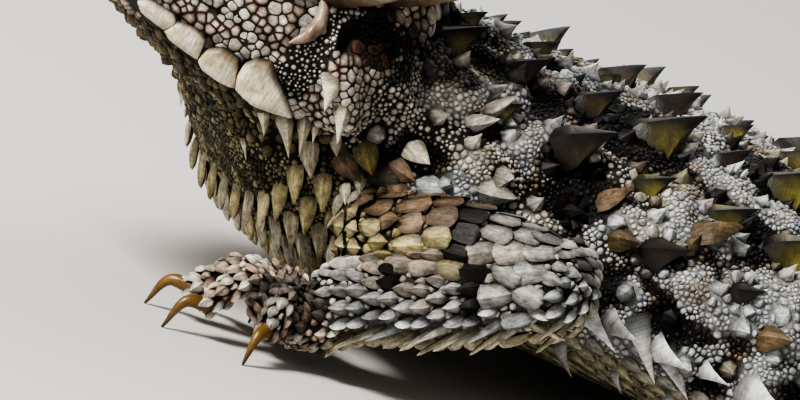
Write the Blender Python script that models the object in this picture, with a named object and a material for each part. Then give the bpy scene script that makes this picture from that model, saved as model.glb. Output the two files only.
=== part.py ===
"""A life-size horned lizard at rest with its head raised.

Sizes are in millimetres and become metres when an object is made. The snout points to -X, the left
side faces -Y and the floor is z = 0. STATION is the distance along the animal from a plane through
the snout, so that the trunk and tail follow one curved line.
"""

import math

import bmesh
import bpy
import numpy as np
from mathutils import Matrix, Vector

MM = 0.001
GAP = 0.3
LEFT, RIGHT = -1, 1
SIDE_NAMES = {LEFT: "left", RIGHT: "right"}

STATION_AT_X0 = 62.0
TAIL_BEND_START = 88.0
TAIL_BEND_LENGTH = 60.0
TAIL_BEND_DEG = 34.0

# station, half width, height of the widest line, rise above it, drop below it
TRUNK = np.array([
    (16.5, 5.0, 17.2, 6.0, 4.2),
    (19.0, 7.4, 15.8, 7.8, 5.2),
    (21.0, 8.8, 14.5, 8.6, 6.3),
    (23.5, 10.0, 13.1, 9.0, 7.6),
    (26.0, 11.0, 12.1, 9.4, 7.9),
    (29.0, 12.0, 11.2, 10.2, 7.8),
    (35.0, 14.2, 9.8, 11.2, 6.9),
    (40.0, 17.2, 8.8, 11.5, 6.2),
    (46.0, 20.8, 7.8, 11.9, 5.8),
    (54.0, 23.8, 6.8, 12.2, 5.6),
    (62.0, 24.6, 5.9, 12.2, 5.4),
    (70.0, 22.4, 5.2, 11.6, 5.4),
    (77.0, 17.6, 4.9, 10.3, 5.1),
    (84.0, 12.2, 4.6, 8.4, 4.8),
    (90.0, 9.0, 4.2, 6.2, 4.4),
    (96.0, 6.6, 3.7, 4.6, 3.9),
    (106.0, 4.8, 3.0, 3.3, 3.2),
    (118.0, 3.3, 2.3, 2.3, 2.4),
    (130.0, 2.0, 1.6, 1.5, 1.7),
    (140.0, 0.9, 0.8, 0.8, 0.8),
])
TRUNK_TOP_POWER = 1.9
TRUNK_SIDE_POWER = 2.2
TRUNK_BELLY_POWER = 2.7

NECK_START, NECK_END = 17.0, 25.5
TORSO_END, TAIL_BASE_END, TAIL_END = 91.0, 114.0, 140.0

HEAD_ORIGIN = Vector((-36.7, 0.0, 12.3))
HEAD_PITCH_DEG = 15.0
# distance ahead of the nape, half width, height of the widest line, top, chin
HEAD = np.array([
    (-2.6, 8.8, 5.4, 11.6, -1.6),
    (0.0, 10.9, 4.8, 13.2, -2.4),
    (4.0, 12.1, 4.3, 14.0, -2.6),
    (8.0, 11.8, 4.0, 14.0, -1.9),
    (11.5, 10.7, 3.8, 13.4, -1.0),
    (14.5, 9.4, 3.6, 12.0, -0.2),
    (17.5, 7.9, 3.5, 10.1, 0.1),
    (20.5, 6.0, 3.4, 8.2, 0.3),
    (22.6, 3.9, 3.3, 6.4, 0.8),
    (23.6, 1.6, 3.2, 4.8, 2.0),
])
HEAD_POWER = 2.7
HEAD_TAPER = 0.24

HEAD_MESH = (18, 26)
HEAD_ROOM = 0.38

EYE_CENTRE = (11.0, 6.7, 9.0)
EYE_RADIUS = 3.0
EYE_MESH = (14, 9)
LID_RADIUS = 3.8
LID_OPENING = (2.7, 3.0, 1.8)

BROW = ((17.4, 5.0, 8.6), (14.6, 6.8, 10.9), (11.4, 7.7, 12.5), (8.2, 8.5, 12.6), (5.4, 10.0, 13.9))
BROW_RADII = (0.6, 1.3, 1.7, 1.5, 0.25)

# name, base in the head's frame, length, base radius, then how far it leans back, out and up
HORNS = (
    ("horn_occipital", (1.6, 3.5, 12.8), 11.0, 2.05, (0.80, 0.20, 0.54)),
    ("horn_temporal_inner", (1.6, 7.3, 11.7), 8.0, 1.7, (0.80, 0.38, 0.44)),
    ("horn_temporal_middle", (3.6, 10.0, 10.3), 6.4, 1.4, (0.66, 0.54, 0.52)),
    ("horn_temporal_outer", (7.1, 10.8, 8.4), 5.0, 1.3, (0.60, 0.64, 0.46)),
)

SHIELD_COUNT = 5
SHIELD_LIFT = 0.28
SHIELD_FRONT, SHIELD_BACK = 21.2, 12.1
SHIELD_SIZE = (1.3, 0.8, 1.05)
JAW_SPINE_BASE, JAW_SPINE_TIP = (10.0, 11.0, 1.5), (6.5, 12.8, 0.0)
JOWL_TOP, JOWL_BOTTOM = (6.0, 11.4, 5.2), (2.9, 11.6, 1.5)
JOWL_SPINE = 1.8
MOUTH_HEIGHT, MOUTH_CORNER = 2.9, 8.2
MOUTH_DEPTH, MOUTH_OPEN = 0.5, 0.32
NOSTRIL, NOSTRIL_RADII = (21.3, 2.9, 6.5), (0.6, 0.5, 0.45)
EAR, EAR_RADII = (5.6, 11.3, 6.0), (0.8, 1.2, 1.5)

# points of each limb from the trunk outwards, then the radius at each of them
LEFT_ARM = {
    "upper": [(-30.5, -6.0, 9.4), (-34.0, -12.0, 8.3), (-31.2, -15.8, 9.7), (-26.2, -19.8, 9.8)],
    "lower": [(-26.2, -19.8, 9.8), (-31.2, -17.6, 7.1), (-36.9, -14.5, 4.4)],
    "palm": (-38.4, -13.2, 2.7), "heading": 155.0,
}
RIGHT_ARM = {
    "upper": [(-31.0, 5.0, 11.4), (-33.4, 11.6, 11.0), (-30.8, 17.4, 11.8), (-25.4, 22.8, 12.2)],
    "lower": [(-25.4, 22.8, 12.2), (-19.0, 26.0, 8.6), (-12.6, 28.0, 4.4)],
    "palm": (-13.0, 29.8, 2.5), "heading": 140.0,
}
LEFT_LEG = {
    "upper": [(23.0, -4.0, 7.4), (21.5, -9.6, 7.4), (18.0, -17.0, 8.6), (12.6, -24.2, 9.2)],
    "lower": [(12.6, -24.2, 9.2), (18.4, -27.0, 7.2), (25.0, -29.6, 4.0)],
    "palm": (22.6, -31.4, 2.3), "heading": 214.0,
}
RIGHT_LEG = {
    "upper": [(23.0, 4.0, 7.4), (22.4, 9.6, 7.4), (21.0, 17.4, 8.6), (17.4, 25.4, 9.0)],
    "lower": [(17.4, 25.4, 9.0), (23.8, 27.8, 7.0), (31.0, 29.4, 4.0)],
    "palm": (29.0, 31.4, 2.3), "heading": 140.0,
}
LIMB_ROOM = 2.2
ARM_RADII = {"upper": (3.5, 3.1, 2.95, 2.95), "lower": (2.95, 2.75, 2.2)}
LEG_RADII = {"upper": (5.2, 5.1, 4.4, 3.4), "lower": (3.4, 3.1, 2.2)}
LIMBS = ((LEFT_ARM, ARM_RADII), (RIGHT_ARM, ARM_RADII), (LEFT_LEG, LEG_RADII), (RIGHT_LEG, LEG_RADII))
# turn from the heading towards the inner side, and the length without its claw
HAND_DIGITS = ((66.0, 2.6), (36.0, 4.2), (8.0, 5.4), (-24.0, 4.6), (-68.0, 2.6))
FOOT_DIGITS = ((52.0, 2.8), (28.0, 4.6), (7.0, 6.6), (-14.0, 8.4), (-52.0, 4.2))
PALM_RADII = (3.2, 3.3, 1.9)
DIGIT_RADIUS = 0.95
KNUCKLE_RISE, TOE_END_HEIGHT = 1.4, 1.8
CLAW_LENGTH = 2.5

# angle, first and last station, step, spine length, half width, flatness, lean along the body
FRINGE_ROWS = (
    (-2.0, 38.4, 71.0, 2.8, 3.6, 0.95, 0.5, 0.45),
    (-30.0, 40.0, 69.0, 3.2, 2.3, 0.8, 0.5, 0.55),
)
BACK_ROWS = (
    (24.0, 38.0, 76.0, 5.0, 2.0, 1.0, 1.0, 0.75),
    (43.0, 33.5, 80.0, 4.6, 2.8, 1.4, 1.0, 0.60),
    (64.0, 31.2, 86.0, 4.6, 3.0, 1.6, 1.0, 0.45),
    (82.0, 33.5, 84.0, 5.0, 2.2, 1.2, 1.0, 0.50),
)
CHEST_ROWS = (
    (-40.0, 26.6, 33.0, 2.5, 2.2, 1.0, 0.45, -0.5),
    (-58.0, 26.0, 34.0, 2.5, 2.2, 1.0, 0.45, -0.5),
    (-78.0, 26.0, 34.0, 2.5, 2.2, 1.0, 0.45, -0.5),
)
GULAR_ROWS = (
    (-20.0, 19.8, 22.4, 2.2, 2.4, 0.8, 0.6, -0.10),
    (-48.0, 19.8, 24.6, 2.2, 2.1, 0.8, 0.6, -0.10),
    (-76.0, 21.4, 24.6, 2.2, 1.8, 0.8, 0.6, -0.10),
)
TAIL_BASE_ROWS = (
    (2.0, 93.0, 112.0, 3.4, 2.2, 0.9, 0.6, 0.7),
    (48.0, 93.6, 112.0, 4.2, 1.9, 0.9, 1.0, 0.9),
)
TAIL_TIP_ROWS = (
    (2.0, 116.0, 133.0, 4.2, 1.5, 0.65, 0.6, 0.9),
    (55.0, 118.0, 132.0, 4.6, 1.2, 0.6, 1.0, 0.9),
)

SKIN_TAN = (0.46, 0.41, 0.34)
HORN_CREAM = (0.66, 0.58, 0.44)
EYE_BROWN = (0.16, 0.09, 0.04)


def material(name, colour, roughness):
    made = bpy.data.materials.new(name)
    made.use_nodes = True
    shader = made.node_tree.nodes["Principled BSDF"]
    shader.inputs["Base Color"].default_value = (*colour, 1.0)
    shader.inputs["Roughness"].default_value = roughness
    shader.inputs["Metallic"].default_value = 0.0
    return made


def clear_scene():
    for thing in list(bpy.data.objects):
        bpy.data.objects.remove(thing)


def make_object(name, points, faces):
    """A mesh object from points in millimetres."""
    mesh = bpy.data.meshes.new(name)
    mesh.from_pydata([tuple(float(c) * MM for c in p) for p in points], [], faces)
    mesh.validate()
    made = bpy.data.objects.new(name, mesh)
    bpy.context.scene.collection.objects.link(made)
    return made


def smooth_rows(table, at):
    """A table's row at a value of its first column, on a smooth curve that doesn't overshoot."""
    stations = table[:, 0]
    k = int(np.clip(np.searchsorted(stations, at) - 1, 0, len(table) - 2))
    span = stations[k + 1] - stations[k]
    t = (at - stations[k]) / span
    slopes = np.diff(table, axis=0) / np.diff(stations)[:, None]

    def tangent(i):
        if i == 0:
            return slopes[0]
        if i == len(table) - 1:
            return slopes[-1]
        before, after = slopes[i - 1], slopes[i]
        level = before * after <= 0
        mean = 2 * before * after / np.where(level, 1.0, before + after)
        return np.where(level, 0.0, mean)

    rise = 3 * t * t - 2 * t ** 3
    start, end = (1 - rise) * table[k], rise * table[k + 1]
    lead = (t - 2 * t * t + t ** 3) * span * tangent(k)
    tail = (t ** 3 - t * t) * span * tangent(k + 1)
    return start + end + lead + tail


def signed_power(value, power):
    return math.copysign(abs(value) ** power, value)


def trunk_heading(station):
    bend = np.clip((station - TAIL_BEND_START) / TAIL_BEND_LENGTH, 0.0, 1.0)
    return math.radians(TAIL_BEND_DEG) * math.sin(math.pi * bend) * bend


def trunk_centre(station):
    """The middle line's place on the floor: straight to the hips, then bent with the tail."""
    straight = min(station, TAIL_BEND_START)
    x, y = straight - STATION_AT_X0, 0.0
    steps = 24
    if station > TAIL_BEND_START:
        length = (station - TAIL_BEND_START) / steps
        for i in range(steps):
            heading = trunk_heading(TAIL_BEND_START + (i + 0.5) * length)
            x += math.cos(heading) * length
            y += math.sin(heading) * length
    return x, y


def trunk_point(station, angle, grow=0.0):
    """A point of the trunk's skin: angle 0 is the right side, 90 the back and 180 the left."""
    _, width, height, rise, drop = smooth_rows(TRUNK, station)
    x, y = trunk_centre(station)
    heading = trunk_heading(station)
    c, s = math.cos(math.radians(angle)), math.sin(math.radians(angle))
    power = TRUNK_TOP_POWER if s > 0 else TRUNK_BELLY_POWER
    side = (width + grow) * signed_power(c, 2 / (TRUNK_SIDE_POWER if s > 0 else TRUNK_BELLY_POWER))
    up = ((rise if s > 0 else drop) + grow) * signed_power(s, 2 / power)
    return Vector((x - math.sin(heading) * side, y + math.cos(heading) * side, height + up))


def trunk_normal(station, angle):
    along = trunk_point(station + 0.2, angle) - trunk_point(station - 0.2, angle)
    around = trunk_point(station, angle + 1) - trunk_point(station, angle - 1)
    return around.cross(along).normalized()


def head_world(forward, side, up):
    """A point given ahead of the nape, to the right and up, in the head's own frame."""
    pitch = math.radians(HEAD_PITCH_DEG)
    ahead = Vector((-math.cos(pitch), 0.0, math.sin(pitch)))
    above = Vector((math.sin(pitch), 0.0, math.cos(pitch)))
    return HEAD_ORIGIN + ahead * forward + above * up + Vector((0.0, side, 0.0))


def head_half_width(forward, up, grow=0.0):
    """How far the head's side stands out at a height. It narrows towards the crown."""
    _, width, middle, top, chin = smooth_rows(HEAD, forward)
    reach = (top - middle if up > middle else middle - chin) + grow
    share = min(abs(up - middle) / reach, 1.0)
    taper = 1 - HEAD_TAPER * max(up - middle, 0.0) / reach
    return (width + grow) * taper * (1 - share ** HEAD_POWER) ** (1 / HEAD_POWER)


def head_point(forward, angle, grow=0.0):
    _, width, middle, top, chin = smooth_rows(HEAD, forward)
    c, s = math.cos(math.radians(angle)), math.sin(math.radians(angle))
    reach = (top - middle if s > 0 else middle - chin) + grow
    height = middle + reach * signed_power(s, 2 / HEAD_POWER)
    taper = 1 - HEAD_TAPER * max(height - middle, 0.0) / reach
    side = (width + grow) * taper * signed_power(c, 2 / HEAD_POWER)
    return head_world(forward, side, height)


def skin_tube(name, rings):
    """A closed surface through rings of points, with a flat cap at each end."""
    count = len(rings[0])
    points = [p for ring in rings for p in ring]
    faces = [tuple(reversed(range(count))), tuple(range(len(points) - count, len(points)))]
    for r in range(len(rings) - 1):
        for k in range(count):
            a, b = r * count + k, r * count + (k + 1) % count
            faces.append((a, b, b + count, a + count))
    made = make_object(name, points, faces)
    face_outwards(made)
    return made


def face_outwards(made):
    bm = bmesh.new()
    bm.from_mesh(made.data)
    bmesh.ops.recalc_face_normals(bm, faces=bm.faces)
    bm.to_mesh(made.data)
    bm.free()


def trunk_length(name, start, end, rings, around, grow=0.0):
    stations = np.linspace(start, end, rings)
    angles = [360.0 * k / around for k in range(around)]
    return skin_tube(name, [[trunk_point(s, a, grow) for a in angles] for s in stations])


def head_shell(name, rings, around, grow=0.0):
    ends = np.linspace(0, 1, rings) ** 0.8
    ahead = HEAD[0, 0] - grow + (HEAD[-1, 0] - HEAD[0, 0] + grow) * ends
    angles = [360.0 * k / around for k in range(around)]
    return skin_tube(name, [[head_point(a, k, grow) for k in angles] for a in ahead])


def smooth_path(points, radii, count):
    """A Catmull-Rom curve through the points, with the radius along it."""
    rows = [Vector((*p, r)) for p, r in zip(points, radii)]
    rows = [rows[0] * 2 - rows[1], *rows, rows[-1] * 2 - rows[-2]]
    found = []
    for i in range(count):
        t = (len(points) - 1) * i / (count - 1)
        k = min(int(t), len(points) - 2)
        u = t - k
        a, b, c, d = rows[k:k + 4]
        found.append(0.5 * (2 * b + (c - a) * u + (2 * a - 5 * b + 4 * c - d) * u * u
                            + (3 * b - a - 3 * c + d) * u ** 3))
    return [Vector(p[:3]) for p in found], [p[3] for p in found]


def path_axes(centres, i):
    """Directions along, across and above a path at one of its points."""
    along = (centres[min(i + 1, len(centres) - 1)] - centres[max(i - 1, 0)]).normalized()
    across = along.cross(Vector((0, 0, 1))).normalized()
    return along, across, across.cross(along)


def round_loop(centre, across, above, radius, around, tall=1.0):
    """Points round a circle, or round an oval where tall isn't 1."""
    turns = [2 * math.pi * j / around for j in range(around)]
    return [centre + (across * math.cos(k) + above * tall * math.sin(k)) * radius for k in turns]


def path_loops(centres, sizes, around, tall=1.0):
    """A round loop at each point of a path."""
    loops = []
    for i, (centre, size) in enumerate(zip(centres, sizes)):
        _, across, above = path_axes(centres, i)
        loops.append(round_loop(centre, across, above, size, around, tall))
    return loops


def limb_tube(name, points, radii, rings, around):
    """A round limb along a smooth path, with rounded ends."""
    centres, sizes = smooth_path(points, radii, rings)
    first, last = path_axes(centres, 0)[0], path_axes(centres, rings - 1)[0]
    loops = path_loops(centres, sizes, around)
    start = centres[0] - first * sizes[0] * 0.85
    end = centres[-1] + last * sizes[-1] * 0.85
    loops.insert(0, round_loop(start, *path_axes(centres, 0)[1:], sizes[0] * 0.5, around))
    loops.append(round_loop(end, *path_axes(centres, rings - 1)[1:], sizes[-1] * 0.5, around))
    return skin_tube(name, loops)


def spine(name, root, out, lean, length, width, flat=1.0, sink=0.5, bend=0.15):
    """A tapered spine of four edges. It stands along out, leans along lean and bends as it rises."""
    out = Vector(out).normalized()
    lean = Vector(lean)
    lean = (lean - out * lean.dot(out)).normalized()
    across = out.cross(lean).normalized()
    loops = []
    for share, wide in ((-sink, 1.0), (0.45, 0.62)):
        middle = Vector(root) + out * length * share + lean * length * bend * max(share, 0) ** 2
        loops.append([middle + across * width * wide, middle + lean * width * wide * flat,
                      middle - across * width * wide, middle - lean * width * wide * flat])
    tip = Vector(root) + out * length + lean * length * bend * 2.0
    points = [*loops[0], *loops[1], tip]
    faces = [(3, 2, 1, 0)]
    faces += [(k, (k + 1) % 4, 4 + (k + 1) % 4, 4 + k) for k in range(4)]
    faces += [(4 + k, 4 + (k + 1) % 4, 8) for k in range(4)]
    made = make_object(name, points, faces)
    face_outwards(made)
    return made


def ball(name, centre, radii, around=16, rings=10, turn=None):
    """An ellipsoid, turned by a matrix if one is given."""
    mesh = bpy.data.meshes.new(name)
    bm = bmesh.new()
    bmesh.ops.create_uvsphere(bm, u_segments=around, v_segments=rings, radius=1.0)
    for v in bm.verts:
        place = Vector((v.co.x * radii[0], v.co.y * radii[1], v.co.z * radii[2]))
        v.co = (Vector(centre) + (turn @ place if turn else place)) * MM
    bmesh.ops.recalc_face_normals(bm, faces=bm.faces)
    bm.to_mesh(mesh)
    bm.free()
    made = bpy.data.objects.new(name, mesh)
    bpy.context.scene.collection.objects.link(made)
    return made


def boolean(made, pieces, operation, solver="MANIFOLD"):
    """Joins or cuts with several closed pieces at once, then removes them."""
    group = bpy.data.collections.new(made.name + "_pieces")
    bpy.context.scene.collection.children.link(group)
    for piece in pieces:
        bpy.context.scene.collection.objects.unlink(piece)
        group.objects.link(piece)
    modifier = made.modifiers.new("Boolean", "BOOLEAN")
    modifier.operation = operation
    modifier.operand_type = "COLLECTION"
    modifier.collection = group
    modifier.solver = solver
    bpy.context.view_layer.objects.active = made
    bpy.ops.object.modifier_apply(modifier=modifier.name)
    for piece in pieces:
        bpy.data.objects.remove(piece)
    bpy.data.collections.remove(group)
    keep_largest(made)
    return made


def keep_largest(made):
    """Leaves only the largest closed surface of a mesh."""
    bm = bmesh.new()
    bm.from_mesh(made.data)
    left, groups = set(bm.faces), []
    while left:
        stack = [left.pop()]
        group = list(stack)
        while stack:
            face = stack.pop()
            for edge in face.edges:
                for other in edge.link_faces:
                    if other in left and len(edge.link_faces) == 2:
                        left.remove(other)
                        stack.append(other)
                        group.append(other)
        groups.append(group)
    groups.sort(key=lambda g: sum(f.calc_area() for f in g), reverse=True)
    loose = [f for group in groups[1:] for f in group]
    bmesh.ops.delete(bm, geom=loose, context="FACES")
    bmesh.ops.delete(bm, geom=[v for v in bm.verts if not v.link_faces], context="VERTS")
    bm.to_mesh(made.data)
    bm.free()


def cut_flat(made, place, normal):
    """Removes what lies on the normal's side of a plane and closes the cut."""
    bm = bmesh.new()
    bm.from_mesh(made.data)
    found = bmesh.ops.bisect_plane(
        bm, geom=[*bm.verts, *bm.edges, *bm.faces], plane_co=Vector(place) * MM,
        plane_no=normal, dist=1e-8, clear_outer=True)
    rim = [e for e in found["geom_cut"] if isinstance(e, bmesh.types.BMEdge)]
    bmesh.ops.holes_fill(bm, edges=rim)
    bmesh.ops.recalc_face_normals(bm, faces=bm.faces)
    bm.to_mesh(made.data)
    bm.free()
    keep_largest(made)


def finish_node(made, look, angle=35.0):
    made.data.materials.clear()
    made.data.materials.append(look)
    made.data.shade_smooth()
    made.data.set_sharp_from_angle(angle=math.radians(angle))
    return made


def head_axes(yaw_deg=0.0):
    """Columns that point ahead, to the right and up in the head's frame, turned about its upright."""
    yaw = math.radians(yaw_deg)
    origin = head_world(0, 0, 0)
    columns = [head_world(math.cos(yaw), math.sin(yaw), 0) - origin,
               head_world(-math.sin(yaw), math.cos(yaw), 0) - origin,
               head_world(0, 0, 1) - origin]
    return Matrix(columns).transposed()


def jaw_shield(forward, side, scale):
    """A raised shield that lies along the edge of the jaw."""
    _, _, middle, _, chin = smooth_rows(HEAD, forward)
    up = chin + SHIELD_LIFT * (middle - chin)
    out = head_half_width(forward, up)
    slope = head_half_width(forward + 0.5, up) - head_half_width(forward - 0.5, up)
    place = head_world(forward, side * out, up)
    turn = head_axes(math.degrees(math.atan(side * slope)))
    return ball("shield", place, [r * scale for r in SHIELD_SIZE], around=8, rings=5, turn=turn)


def horn_direction(side, leans):
    back, out, up = leans
    return (head_world(-back, side * out, up) - head_world(0, 0, 0)).normalized()


def build_horn(kind, side, base, length, radius, leans, look):
    """A smooth horn that curves up a little, ground to fit the back of the head."""
    root = head_world(base[0], side * base[1], base[2])
    out = horn_direction(side, leans)
    rise = Vector((0, 0, 1))
    points = [root - out * 2.5, root, root + out * length * 0.5, root + out * length + rise * length * 0.14]
    centres, sizes = smooth_path(points, (radius * 1.05, radius, radius * 0.62, 0.22), 8)
    horn = skin_tube(f"{kind}_{SIDE_NAMES[side]}", path_loops(centres, sizes, 8))
    boolean(horn, [head_shell("clearance", *HEAD_MESH, HEAD_ROOM)], "DIFFERENCE")
    return finish_node(horn, look)


def brow_ridge(side):
    """The ridge over the eye, which ends in a short horn behind it."""
    points = [head_world(a, side * y, v) for a, y, v in BROW]
    centres, sizes = smooth_path(points, BROW_RADII, 9)
    return skin_tube("brow", path_loops(centres, sizes, 6))


def jowl_fold(side):
    """The fold of skin behind the corner of the mouth, with two spines at its foot."""
    top, foot = (head_world(a, side * y, v) for a, y, v in (JOWL_TOP, JOWL_BOTTOM))
    pieces = [limb_tube("jowl", [top, (top + foot) / 2, foot], (0.9, 1.35, 1.25), 4, 7)]
    for lean in (-0.5, 0.5):
        root = foot + Vector((lean * 1.5, side * 0.7, 0.0))
        pieces.append(spine("jowl_spine", root, (lean * 0.6, side * 0.8, -1.0), (1, 0, 0), JOWL_SPINE, 0.7))
    return pieces


def jaw_shields(side):
    """The row of shields along the jaw, larger towards its corner, where the last is a spine."""
    pieces = []
    for i in range(SHIELD_COUNT):
        share = i / (SHIELD_COUNT - 1)
        forward = SHIELD_FRONT + (SHIELD_BACK - SHIELD_FRONT) * share
        pieces.append(jaw_shield(forward, side, 0.85 + 0.2 * share))
    root = head_world(JAW_SPINE_BASE[0], side * JAW_SPINE_BASE[1], JAW_SPINE_BASE[2])
    tip = head_world(JAW_SPINE_TIP[0], side * JAW_SPINE_TIP[1], JAW_SPINE_TIP[2])
    out = tip - root
    pieces.append(spine("jaw_spine", root, out, (0, 0, -1), out.length, 1.3, 0.9, 0.25, 0.05))
    return pieces


def mouth_cutter():
    """A thin round bar that follows the lips from one corner of the mouth to the other."""
    ahead = list(np.linspace(MOUTH_CORNER, 22.8, 9))
    rows = [(a, -head_half_width(a, MOUTH_HEIGHT), MOUTH_HEIGHT) for a in ahead]
    rows.append((23.7, 0.0, MOUTH_HEIGHT))
    rows += [(a, -y, v) for a, y, v in reversed(rows[:-1])]
    centres = [head_world(*row) for row in rows]
    loops = []
    for i, centre in enumerate(centres):
        along = path_axes(centres, i)[0]
        above = head_world(0, 0, 1) - head_world(0, 0, 0)
        above = (above - along * above.dot(along)).normalized()
        loops.append(round_loop(centre, along.cross(above), above, MOUTH_DEPTH, 6, MOUTH_OPEN / MOUTH_DEPTH))
    return skin_tube("mouth", loops)


def build_head(look):
    head = head_shell("head", *HEAD_MESH)
    added, cut = [], [mouth_cutter()]
    for side in (LEFT, RIGHT):
        eye = head_world(EYE_CENTRE[0], side * EYE_CENTRE[1], EYE_CENTRE[2])
        added.append(ball("lids", eye, (LID_RADIUS,) * 3, 12, 7))
        added.append(brow_ridge(side))
        added += jaw_shields(side) + jowl_fold(side)
        cut.append(ball("socket", eye, (EYE_RADIUS + GAP,) * 3, *EYE_MESH))
        outer = head_world(EYE_CENTRE[0], side * (EYE_CENTRE[1] + EYE_RADIUS), EYE_CENTRE[2])
        cut.append(ball("lid_opening", outer, LID_OPENING, 12, 8, head_axes()))
        nostril = head_world(NOSTRIL[0], side * NOSTRIL[1], NOSTRIL[2])
        cut.append(ball("nostril", nostril, NOSTRIL_RADII, 8, 6))
        ear = head_world(EAR[0], side * (EAR[1] + 0.6), EAR[2])
        cut.append(ball("ear", ear, EAR_RADII, 8, 6, head_axes()))
    boolean(head, added, "UNION")
    boolean(head, cut, "DIFFERENCE")
    return finish_node(head, look)


def build_eye(side, look):
    centre = head_world(EYE_CENTRE[0], side * EYE_CENTRE[1], EYE_CENTRE[2])
    return finish_node(ball(f"eye_{SIDE_NAMES[side]}", centre, (EYE_RADIUS,) * 3, *EYE_MESH), look)


def clear_of_limbs(place, room):
    """Whether a place stands at least this far from every limb's skin."""
    for limb, radii in LIMBS:
        for part in ("upper", "lower"):
            centres, sizes = smooth_path(limb[part], radii[part], 14)
            if min((place - c).length - r for c, r in zip(centres, sizes)) < room:
                return False
    return True


def trunk_spines(name, rows):
    """Spines in rows along the trunk, each row given by its angle, stations, size and lean."""
    pieces = []
    for angle, start, end, step, length, width, flat, lift in rows:
        count = int((end - start) / step) + 1
        for i in range(count):
            station = start + i * step
            fade = 0.62 + 0.38 * math.sin(math.pi * min(max((i + 0.7) / count, 0.0), 1.0))
            grow = fade * (0.84 + 0.28 * math.sin(2.4 * i + angle))
            for side_angle in (angle, 180.0 - angle):
                normal = trunk_normal(station, side_angle)
                heading = trunk_heading(station)
                back = Vector((math.cos(heading), math.sin(heading), 0.0))
                out = (normal + back * lift).normalized()
                root, tall = trunk_point(station, side_angle), length * grow
                if clear_of_limbs(root + out * tall * 0.6, LIMB_ROOM):
                    pieces.append(spine(name, root, out, back, tall, width * grow, flat))
    return pieces


def build_neck(look):
    neck = trunk_length("neck", NECK_START, NECK_END, 6, 24)
    boolean(neck, trunk_spines("gular", GULAR_ROWS), "UNION")
    boolean(neck, [head_shell("clearance", *HEAD_MESH, HEAD_ROOM)], "DIFFERENCE")
    return finish_node(neck, look)


def build_torso(look):
    torso = trunk_length("torso", NECK_END + GAP, TORSO_END, 20, 28)
    boolean(torso, trunk_spines("back", FRINGE_ROWS + BACK_ROWS + CHEST_ROWS), "UNION")
    boolean(torso, [head_shell("clearance", *HEAD_MESH, HEAD_ROOM)], "DIFFERENCE")
    cut_flat(torso, (0, 0, 0), (0, 0, -1))
    return finish_node(torso, look)


def build_tail(name, start, end, rings, rows, look):
    tail = trunk_length(name, start, end, rings, 12)
    boolean(tail, trunk_spines("tail", rows), "UNION")
    cut_flat(tail, (0, 0, 0), (0, 0, -1))
    return finish_node(tail, look)


def joint_plane(first, second):
    """The plane that halves the angle between two lengths of a limb, as place and normal."""
    joint = Vector(first[-1])
    towards_first = (Vector(first[-2]) - joint).normalized()
    towards_second = (Vector(second[1]) - joint).normalized()
    return joint, (towards_first - towards_second).normalized()


def limb_scutes(points, radii, count, angles, length, width):
    """Keeled scales that stand from a limb and point towards its end."""
    centres, sizes = smooth_path(points, radii, 24)
    pieces = []
    for j, angle in enumerate(angles):
        for i in range(count):
            at = int(24 * (0.16 + 0.7 * (i + 0.5 * (j % 2)) / count))
            along, across, above = path_axes(centres, at)
            out = across * math.cos(math.radians(angle)) + above * math.sin(math.radians(angle))
            root = centres[at] + out * sizes[at] * 0.96
            pieces.append(spine("scute", root, out + along * 1.3, along, length, width, 0.5, 0.5, 0.1))
    return pieces


def digit(palm, heading_deg, length):
    """One toe: out from the palm, over its knuckle and down to a claw on the floor."""
    way = Vector((math.cos(math.radians(heading_deg)), math.sin(math.radians(heading_deg)), 0.0))
    start = Vector(palm)
    reach = PALM_RADII[0] * 0.45
    middle = start + way * (reach + length * 0.5)
    middle.z += KNUCKLE_RISE
    end = start + way * (reach + length)
    end.z = TOE_END_HEIGHT
    toe = limb_tube("toe", [start + way * reach, middle, end],
                    (DIGIT_RADIUS * 1.1, DIGIT_RADIUS, DIGIT_RADIUS * 0.8), 4, 6)
    claw_path = [end - way * 0.3, end + way * CLAW_LENGTH * 0.55 + Vector((0, 0, -0.1)),
                 end + way * CLAW_LENGTH * 0.85 - Vector((0, 0, TOE_END_HEIGHT))]
    centres, sizes = smooth_path(claw_path, (0.62, 0.46, 0.12), 4)
    return [toe, skin_tube("claw", path_loops(centres, sizes, 4, 1.2))]


def build_limb(names, limb, radii, digits, side, look):
    """Three nodes: the upper length, the lower length and the hand or foot."""
    upper = limb_tube(names[0], limb["upper"], radii["upper"], 9, 12)
    lower = limb_tube(names[1], limb["lower"], radii["lower"], 8, 12)
    foot = ball(names[2], limb["palm"], PALM_RADII, 11, 7)
    elbow, normal = joint_plane(limb["upper"], limb["lower"])
    boolean(upper, limb_scutes(limb["upper"][1:], radii["upper"][1:], 3, (80, 130), 2.0, 0.9), "UNION")
    boolean(lower, limb_scutes(limb["lower"], radii["lower"], 3, (30, 90, 150, 270), 2.0, 0.8), "UNION")
    cut_flat(upper, elbow + normal * GAP / 2, -normal)
    cut_flat(lower, elbow - normal * GAP / 2, normal)
    body = trunk_length("clearance", NECK_START, 104.0, 40, 28, GAP)
    boolean(upper, [body, head_shell("clearance", *HEAD_MESH, HEAD_ROOM)], "DIFFERENCE")
    pieces = []
    for turn, length in digits:
        pieces += digit(limb["palm"], limb["heading"] + side * turn, length)
    boolean(foot, pieces, "UNION")
    cut_flat(foot, (0, 0, 0), (0, 0, -1))
    wrist = Vector(limb["lower"][-1])
    back = (Vector(limb["lower"][-2]) - wrist).normalized()
    towards = (Vector(limb["palm"]) - wrist).normalized()
    split = (back - towards).normalized()
    cut_flat(lower, wrist - split * GAP / 2 + towards * 0.6, -split)
    cut_flat(foot, wrist - split * GAP * 1.5 + towards * 0.6, split)
    return [finish_node(part, look) for part in (upper, lower, foot)]


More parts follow.
